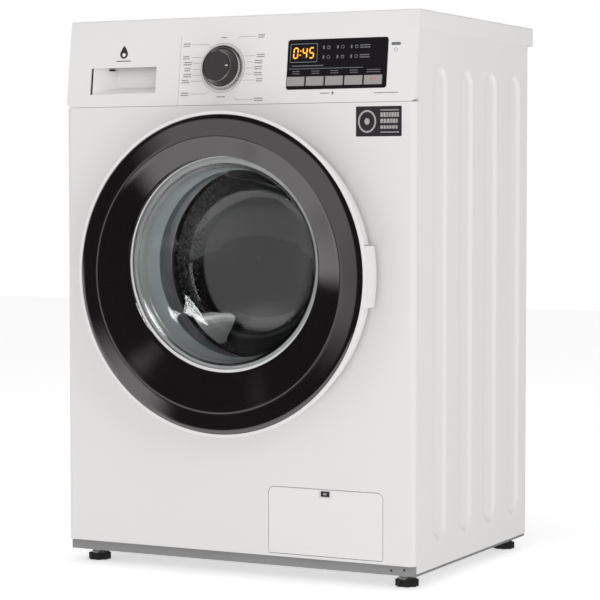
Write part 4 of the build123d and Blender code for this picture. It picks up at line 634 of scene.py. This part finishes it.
clear_glass = surface("clear_glass", (0.96, 0.985, 0.98), 0.015, grain=90.0, relief=0.0000004, spread=0.01,
                      gloss=1.5)
glass_shader = clear_glass.node_tree.nodes["Principled BSDF"]
glass_shader.inputs["Transmission Weight"].default_value = 1.0
glass_shader.inputs["Specular IOR Level"].default_value = 0.08
bowl_outer = [(163.0, -31.4), (163.0, -28.0), (160.0, -27.7), (153.5, -27.7), (151.2, -25.0), (150.4, -8.0),
              (148.6, 6.0), (145.6, 16.0), (143.0, 24.0), (139.0, 38.0), (134.0, 53.0), (128.5, 66.0),
              (121.0, 77.0), (111.0, 84.5), (97.0, 88.6), (70.0, 90.6), (35.0, 91.7), (0.02, 92.0)]
bowl_inner = [(0.02, 88.0), (35.0, 87.7), (69.0, 86.6), (94.5, 84.6), (107.5, 80.9), (117.0, 74.0),
              (124.5, 63.8), (130.0, 51.2), (135.0, 36.4), (139.0, 22.6), (141.6, 14.6), (144.6, 5.2),
              (146.4, -8.4), (147.2, -24.0), (148.6, -29.2), (151.0, -30.4), (153.4, -29.9), (155.6, -30.8),
              (158.2, -30.2), (160.2, -31.4), (163.0, -31.4)]
bowl_points, bowl_faces = turn_outline(bowl_outer + bowl_inner, around=200)
glass_bowl = add_piece("glass_bowl", bowl_points, bowl_faces, "door", clear_glass)
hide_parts("door_glass")


# ---------------------------------------------------------------------------
# Fascia and drawer front. Smooth white mouldings in one leaning plane; the
# drawer's grip is a tapered pocket whose open roof is filled by a near-black
# box of painted shade.
# ---------------------------------------------------------------------------
dress(white_moulding, "control_panel", "drawer_front")
lean = math.atan(fascia_lean)
# A near-black box whose front face closes the grip pocket 3 mm in: painted shade standing in for the dark
# inside of the grip.
grip_painted_shade = surface("grip_painted_shade", (0.02, 0.018, 0.018), 0.5)
slot_points, slot_faces = [], []
for z in (777.2, 787.6):
    front, back = fascia_front(z) + 3.0, fascia_front(z) + 17.4
    slot_points += [mm(-231.6, front, z), mm(-139.6, front, z), mm(-139.6, back, z), mm(-231.6, back, z)]
slot_faces = [(0, 1, 5, 4), (1, 2, 6, 5), (2, 3, 7, 6), (3, 0, 4, 7), (4, 5, 6, 7)]
add_piece("grip_shade_box", slot_points, slot_faces, "drawer", grip_painted_shade, smooth=False)


# ---------------------------------------------------------------------------
# Printed marks. Thin grey ink on the fascia: the ring and leader lines round
# the dial with rows of small plain dashes, a water drop over the grip.
# ---------------------------------------------------------------------------
fascia_turn = Matrix(((1, 0, 0, 0), (0, math.sin(lean), -math.cos(lean), 0),
                      (0, math.cos(lean), math.sin(lean), 0), (0, 0, 0, 1)))
fascia_frame = Matrix.Translation(mm(0, fascia_foot_y, fascia_foot)) @ fascia_turn
front_turn = Matrix(((1, 0, 0, 0), (0, 0, -1, 0), (0, 1, 0, 0), (0, 0, 0, 1)))
front_frame = Matrix.Translation(mm(0, 0, 0)) @ front_turn


def up_fascia(z):
    """Distance up the fascia's slope to a height."""
    return (z - fascia_foot) / math.cos(lean)


def flat_marks(name, loops, body, finish, out, place=None, thick=0.02):
    """Filled flat shapes, from closed loops of (x, up) in millimetres, lying a little in front of a plane."""
    curve = bpy.data.curves.new(name, "CURVE")
    curve.dimensions = "2D"
    curve.fill_mode = "BOTH"
    curve.extrude = thick * 0.0005
    for loop in loops:
        spline = curve.splines.new("POLY")
        spline.points.add(len(loop) - 1)
        for point, (x, up) in zip(spline.points, loop):
            point.co = (x * 0.001, up * 0.001, 0.0, 1.0)
        spline.use_cyclic_u = True
    holder = bpy.data.objects.new(name + "_line", curve)
    mesh = bpy.data.meshes.new_from_object(holder)
    mesh.transform((place or fascia_frame) @ Matrix.Translation((0, 0, (out + thick / 2) * 0.001)))
    bpy.data.objects.remove(holder)
    mesh.name = name
    mesh.materials.clear()
    mesh.materials.append(finish)
    piece = bpy.data.objects.new(name, mesh)
    bpy.context.scene.collection.objects.link(piece)
    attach(piece, body)
    return piece


def oval(x, up, radius, tall=None, count=48):
    """A closed round loop."""
    tall = tall or radius
    return [(x + radius * math.cos(2 * math.pi * i / count), up + tall * math.sin(2 * math.pi * i / count))
            for i in range(count)]


def bar(x0, x1, low, high, corner=0.0):
    """A closed rectangular loop, with round corners if asked."""
    if not corner:
        return [(x0, low), (x1, low), (x1, high), (x0, high)]
    loop = []
    for x, up, start in ((x1 - corner, high - corner, 0), (x0 + corner, high - corner, 90),
                         (x0 + corner, low + corner, 180), (x1 - corner, low + corner, 270)):
        for step in range(7):
            angle = math.radians(start + 15 * step)
            loop.append((x + corner * math.cos(angle), up + corner * math.sin(angle)))
    return loop


def line(path, width):
    """A thin line along a path, as one closed loop."""
    left, right = [], []
    for index, (x, up) in enumerate(path):
        before = Vector(path[max(index - 1, 0)])
        after = Vector(path[min(index + 1, len(path) - 1)])
        run = (after - before).normalized()
        left.append((x - run.y * width / 2, up + run.x * width / 2))
        right.append((x + run.y * width / 2, up - run.x * width / 2))
    return left + right[::-1]


dice = random.Random(7)


def dashes(x, up, width, rows=2, tall=1.7):
    """Rows of short plain dashes that stand where small print would be."""
    loops = []
    for row in range(rows):
        cursor = x - width / 2
        end = x + width / 2
        while cursor < end - 0.8:
            run = min(dice.uniform(0.9, 2.4), end - cursor)
            loops.append(bar(cursor, cursor + run, up - row * 3.4 - tall / 2, up - row * 3.4 + tall / 2))
            cursor += run + 0.55
    return loops


ink = surface("grey_ink", (0.16, 0.16, 0.165), 0.5)
dial_x, dial_up = -22.8, up_fascia(771.3)
dial_marks = [oval(dial_x, dial_up, 37.9, count=120), oval(dial_x, dial_up, 37.4, count=120)]
for index in range(7):
    lift = 26.5 - 9.2 * index
    for way_out in (-1, 1):
        start_x = math.sqrt(max(39.5 ** 2 - lift ** 2, 0.0))
        end_x = 55.0 if index in (0, 1, 5, 6) else 52.0
        path = [(dial_x + way_out * (start_x + 0.4), dial_up + lift)]
        path.append((dial_x + way_out * end_x, dial_up + lift))
        if index in (0, 6):
            kink = 6.0 if index == 0 else -6.0
            path = [(dial_x + way_out * 22.5, dial_up + lift + kink)]
            lift += kink * 1.7
            path += [(dial_x + way_out * 26.5, dial_up + lift), (dial_x + way_out * end_x, dial_up + lift)]
        dial_marks.append(line(path, 0.45))
        dial_marks += dashes(dial_x + way_out * (end_x + 9.0), dial_up + lift + 1.7, dice.uniform(11.0, 15.0))
dial_marks += dashes(dial_x, dial_up + 46.5, 9.0, rows=1) + dashes(dial_x, dial_up - 44.0, 15.0, rows=1)
flat_marks("dial_print", dial_marks, "cabinet", ink, 0.01)

badge_ink = surface("badge_ink", (0.02, 0.02, 0.022), 0.35)
drop_x, drop_up = -199.0, up_fascia(799.0)
drop = []
for step in range(40):
    angle = 2 * math.pi * step / 40
    pinch = 1.0 + 0.75 * max(0.0, math.cos(angle)) ** 5
    drop.append((drop_x + 7.0 * math.sin(angle), drop_up - 2.0 + 7.2 * math.cos(angle) * pinch))
drop_core = oval(drop_x, drop_up - 3.2, 3.1)
drop_rule = bar(-212.0, -186.0, drop_up - 13.6, drop_up - 12.2)
flat_marks("drop_print", [drop, drop_core, drop_rule], "drawer", badge_ink, 0.01)


# ---------------------------------------------------------------------------
# Programme dial. A chromed skirt with fine notches, a dark satin cone and a
# gloss black cap with a small pale pointer.
# ---------------------------------------------------------------------------
def turn_on_fascia(outline, around, notch=0.0, teeth=48):
    """Points and faces of (radius, out, notched) turned about the dial's axis."""
    points = []
    for radius, out, notched in outline:
        for step in range(around):
            angle = 2 * math.pi * step / around
            reach_out = radius - notch * notched * max(0.0, math.cos(angle * teeth)) ** 3
            points.append(fascia_frame @ (Vector((dial_x + reach_out * math.cos(angle),
                                                  dial_up + reach_out * math.sin(angle), out)) * 0.001))
    return points, wrap_faces(len(outline), around)


chrome = surface("chrome_plate", (0.62, 0.61, 0.60), 0.14, metal=1.0, grain=500.0, relief=0.000004, shade=0.1)
skirt_outline = [(34.4, 0.35, 1), (34.4, 3.4, 1), (33.7, 4.4, 1), (32.6, 4.9, 1), (30.6, 5.0, 0.3),
                 (29.4, 5.2, 0)]
skirt_points, skirt_faces = turn_on_fascia(skirt_outline, 480, notch=1.3)
dial_skirt = add_piece("dial_skirt", skirt_points, skirt_faces, "dial", chrome)
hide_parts("program_dial")
cone_satin = surface("cone_satin", (0.085, 0.082, 0.080), 0.2, metal=0.85, grain=500.0, relief=0.000006,
                     shade=0.25)
cone_outline = [(29.5, 5.0, 0), (29.2, 6.2, 0), (27.6, 10.0, 0), (25.4, 16.0, 0), (24.0, 19.4, 0),
                (23.9, 20.2, 0)]
cone_points, cone_faces = turn_on_fascia(cone_outline, 120)
add_piece("dial_cone", cone_points, cone_faces, "dial", cone_satin)
collar_outline = [(23.9, 20.1, 0), (23.7, 20.7, 0), (22.8, 21.0, 0), (22.2, 20.7, 0)]
collar_points, collar_faces = turn_on_fascia(collar_outline, 120)
add_piece("dial_collar", collar_points, collar_faces, "dial", chrome)
cap_gloss = surface("cap_gloss", (0.014, 0.012, 0.013), 0.12, grain=900.0, relief=0.000001, gloss=1.6)
cap_outline = [(22.3, 20.6, 0), (21.9, 21.2, 0), (20.5, 21.4, 0), (0.01, 21.45, 0)]
cap_points, cap_faces = turn_on_fascia(cap_outline, 120)
add_piece("dial_cap", cap_points, cap_faces, "dial", cap_gloss)
pale_ink = surface("pale_ink", (0.62, 0.62, 0.62), 0.4)
pointer = bar(dial_x + 15.4, dial_x + 20.2, dial_up - 1.0, dial_up + 1.0, 0.9)
flat_marks("dial_pointer", [pointer], "dial", pale_ink, 21.44)


# ---------------------------------------------------------------------------
# Display. A black acrylic window; amber digits behind a thin pale frame, six
# small lamps with their signs, and a pale rule above the buttons.
# ---------------------------------------------------------------------------
lens_gloss = surface("lens_gloss", (0.006, 0.005, 0.006), 0.09, grain=900.0, relief=0.0000008, spread=0.02,
                     gloss=1.22)
dress(lens_gloss, "display_lens")
dress(surface("green_board", (0.02, 0.07, 0.035), 0.5, grain=300.0, shade=0.4), "control_board")
amber = surface("amber_segment", (1.0, 0.42, 0.02), 0.4)
amber_glow = amber.node_tree.nodes["Principled BSDF"]
amber_glow.inputs["Emission Color"].default_value = (1.0, 0.40, 0.015, 1.0)
amber_glow.inputs["Emission Strength"].default_value = 1.1
dim_segment = surface("dim_segment", (0.03, 0.022, 0.018), 0.4)
lit_parts = {"0": "abcdef", "4": "bcfg", "5": "acdfg"}


def segment_loops(x, up, parts):
    """The bars of one seven-part digit, 9 wide and 17 tall, from its lower left corner."""
    wide, tall, thick, gap = 8.6, 17.0, 2.0, 0.35
    middle = tall / 2
    flat = {"a": tall - thick / 2, "g": middle, "d": thick / 2}
    upright = {"f": (thick / 2, middle, tall), "b": (wide - thick / 2, middle, tall),
               "e": (thick / 2, 0.0, middle), "c": (wide - thick / 2, 0.0, middle)}
    loops = []
    for part in parts:
        if part in flat:
            level = flat[part]
            left, right = thick / 2 + gap, wide - thick / 2 - gap
            loops.append([(left, level), (left + 1, level + 1), (right - 1, level + 1), (right, level),
                          (right - 1, level - 1), (left + 1, level - 1)])
        else:
            level, low, high = upright[part]
            low = max(low, thick / 2) + gap
            high = min(high, tall - thick / 2) - gap
            loops.append([(level, low), (level + 1, low + 1), (level + 1, high - 1), (level, high),
                          (level - 1, high - 1), (level - 1, low + 1)])
    lean_in = 0.07
    return [[(x + px + lean_in * pz, up + pz) for px, pz in loop] for loop in loops]


digit_up = up_fascia(781.6)
lit, unlit = [], []
for place, digit in zip((95.6, 110.6, 121.8), "045"):
    lit += segment_loops(place, digit_up, lit_parts[digit])
    unlit += segment_loops(place, digit_up, "".join(sorted(set("abcdefg") - set(lit_parts[digit]))))
lit.append(bar(107.0, 109.0, digit_up + 4.4, digit_up + 6.4))
lit.append(bar(107.4, 109.4, digit_up + 10.6, digit_up + 12.6))
flat_marks("time_digits", lit, "cabinet", amber, 0.31)
flat_marks("dark_segments", unlit, "cabinet", dim_segment, 0.31, thick=0.01)
steel_ink = surface("steel_ink", (0.22, 0.25, 0.27), 0.4)
window_low, window_high = up_fascia(776.0), up_fascia(804.0)
lens_marks = [bar(91.2, 136.4, window_low, window_high, 2.4),
              bar(92.0, 135.6, window_low + 0.8, window_high - 0.8, 1.8)]
lens_marks.append(bar(90.5, 212.0, up_fascia(766.2), up_fascia(766.9)))
flat_marks("lens_lines", lens_marks, "cabinet", steel_ink, 0.31)
signs = []
for row, level in enumerate((797.6, 783.2)):
    for column, x in enumerate((146.5, 169.5, 192.0)):
        middle = up_fascia(level)
        signs.append(bar(x - 1.2, x + 1.2, middle - 2.6, middle + 2.6, 1.0))
        if (row + column) % 2:
            signs += [oval(x + 8.2, middle, 2.9, 2.6), oval(x + 8.2, middle, 2.2, 1.9)]
        else:
            signs += [bar(x + 5.8, x + 10.6, middle - 2.6, middle + 2.2, 1.0),
                      bar(x + 6.6, x + 9.8, middle - 1.8, middle + 1.2)]
    signs += dashes(x + 22.0, up_fascia(level) + 1.7, 16.0)
button_first, button_pitch = 102.7, 31.7
for index in range(5):
    print_width = 13.0 if index < 4 else 22.0
    signs += dashes(button_first + button_pitch * index, up_fascia(762.8), print_width, tall=1.2)
signs += dashes(121.0, up_fascia(770.8), 52.0, rows=1, tall=1.5)
flat_marks("lens_signs", signs, "cabinet", surface("lens_ink", (0.20, 0.20, 0.21), 0.4), 0.31)
fascia_small = dashes(152.0, up_fascia(729.6), 15.0, rows=1)
fascia_small += [bar(163.0, 166.0, up_fascia(727.6), up_fascia(732.0), 0.8)]
fascia_small += dashes(251.0, up_fascia(728.6), 38.0, rows=1, tall=1.5)
fascia_small += [bar(256.0, 271.0, up_fascia(797.6), up_fascia(802.0), 1.4)]
fascia_small += [oval(263.5, up_fascia(791.0), radius, count=24) for radius in (2.8, 2.2)]
flat_marks("fascia_print", fascia_small, "cabinet", ink, 0.01)


# ---------------------------------------------------------------------------
# Push buttons. Five silver coated caps that stand a little proud of the
# window; the last one carries a small orange start mark.
# ---------------------------------------------------------------------------
silver_coat = surface("silver_coat", (0.46, 0.455, 0.44), 0.34, metal=0.55, grain=1800.0, relief=0.000006,
                      shade=0.06)
dress(silver_coat, *[f"push_button_{index + 1}" for index in range(5)])
orange_ink = surface("orange_ink", (0.75, 0.16, 0.03), 0.4)
start_up = up_fascia(749.5)
start_x = button_first + button_pitch * 4
arrow = [(start_x - 4.0, start_up - 2.2), (start_x - 4.0, start_up + 2.2), (start_x - 0.4, start_up)]
stripes = [bar(start_x + left, start_x + left + 0.9, start_up - 2.0, start_up + 2.0) for left in (1.6, 3.4)]
flat_marks("start_mark", [arrow, *stripes], "button_5", orange_ink, 1.41)


# ---------------------------------------------------------------------------
# Sticker. A black foil label on the front panel, with a silver drum sign on
# its left and plain silver rules and dashes on its right.
# ---------------------------------------------------------------------------
label_black = surface("label_black", (0.006, 0.005, 0.010), 0.22, grain=800.0, relief=0.000002)
label_edge = bar(204.0, 277.5, 665.0, 709.0, 1.6)
flat_marks("label_foil", [label_edge], "cabinet", label_black, 0.01, front_frame, 0.08)
label_silver = surface("label_silver", (0.62, 0.61, 0.58), 0.25, metal=0.6, grain=60.0, shade=0.35)
label_loops = [oval(222.0, 687.0, 14.6, 16.6), oval(222.0, 687.0, 12.0, 14.0), oval(222.0, 687.0, 4.2, 4.8)]
label_loops += [bar(243.5, 273.0, 702.6, 704.0), bar(243.5, 273.0, 670.4, 671.8)]
for level, tall in ((696.6, 6.6), (687.4, 6.0), (678.4, 4.6)):
    cursor = 243.5
    while cursor < 271.0:
        run = dice.uniform(2.6, 4.6)
        label_loops.append(bar(cursor, min(cursor + run, 273.0), level - tall / 2, level + tall / 2))
        cursor += run + 1.0
flat_marks("label_print", label_loops, "cabinet", label_silver, 0.10, front_frame)
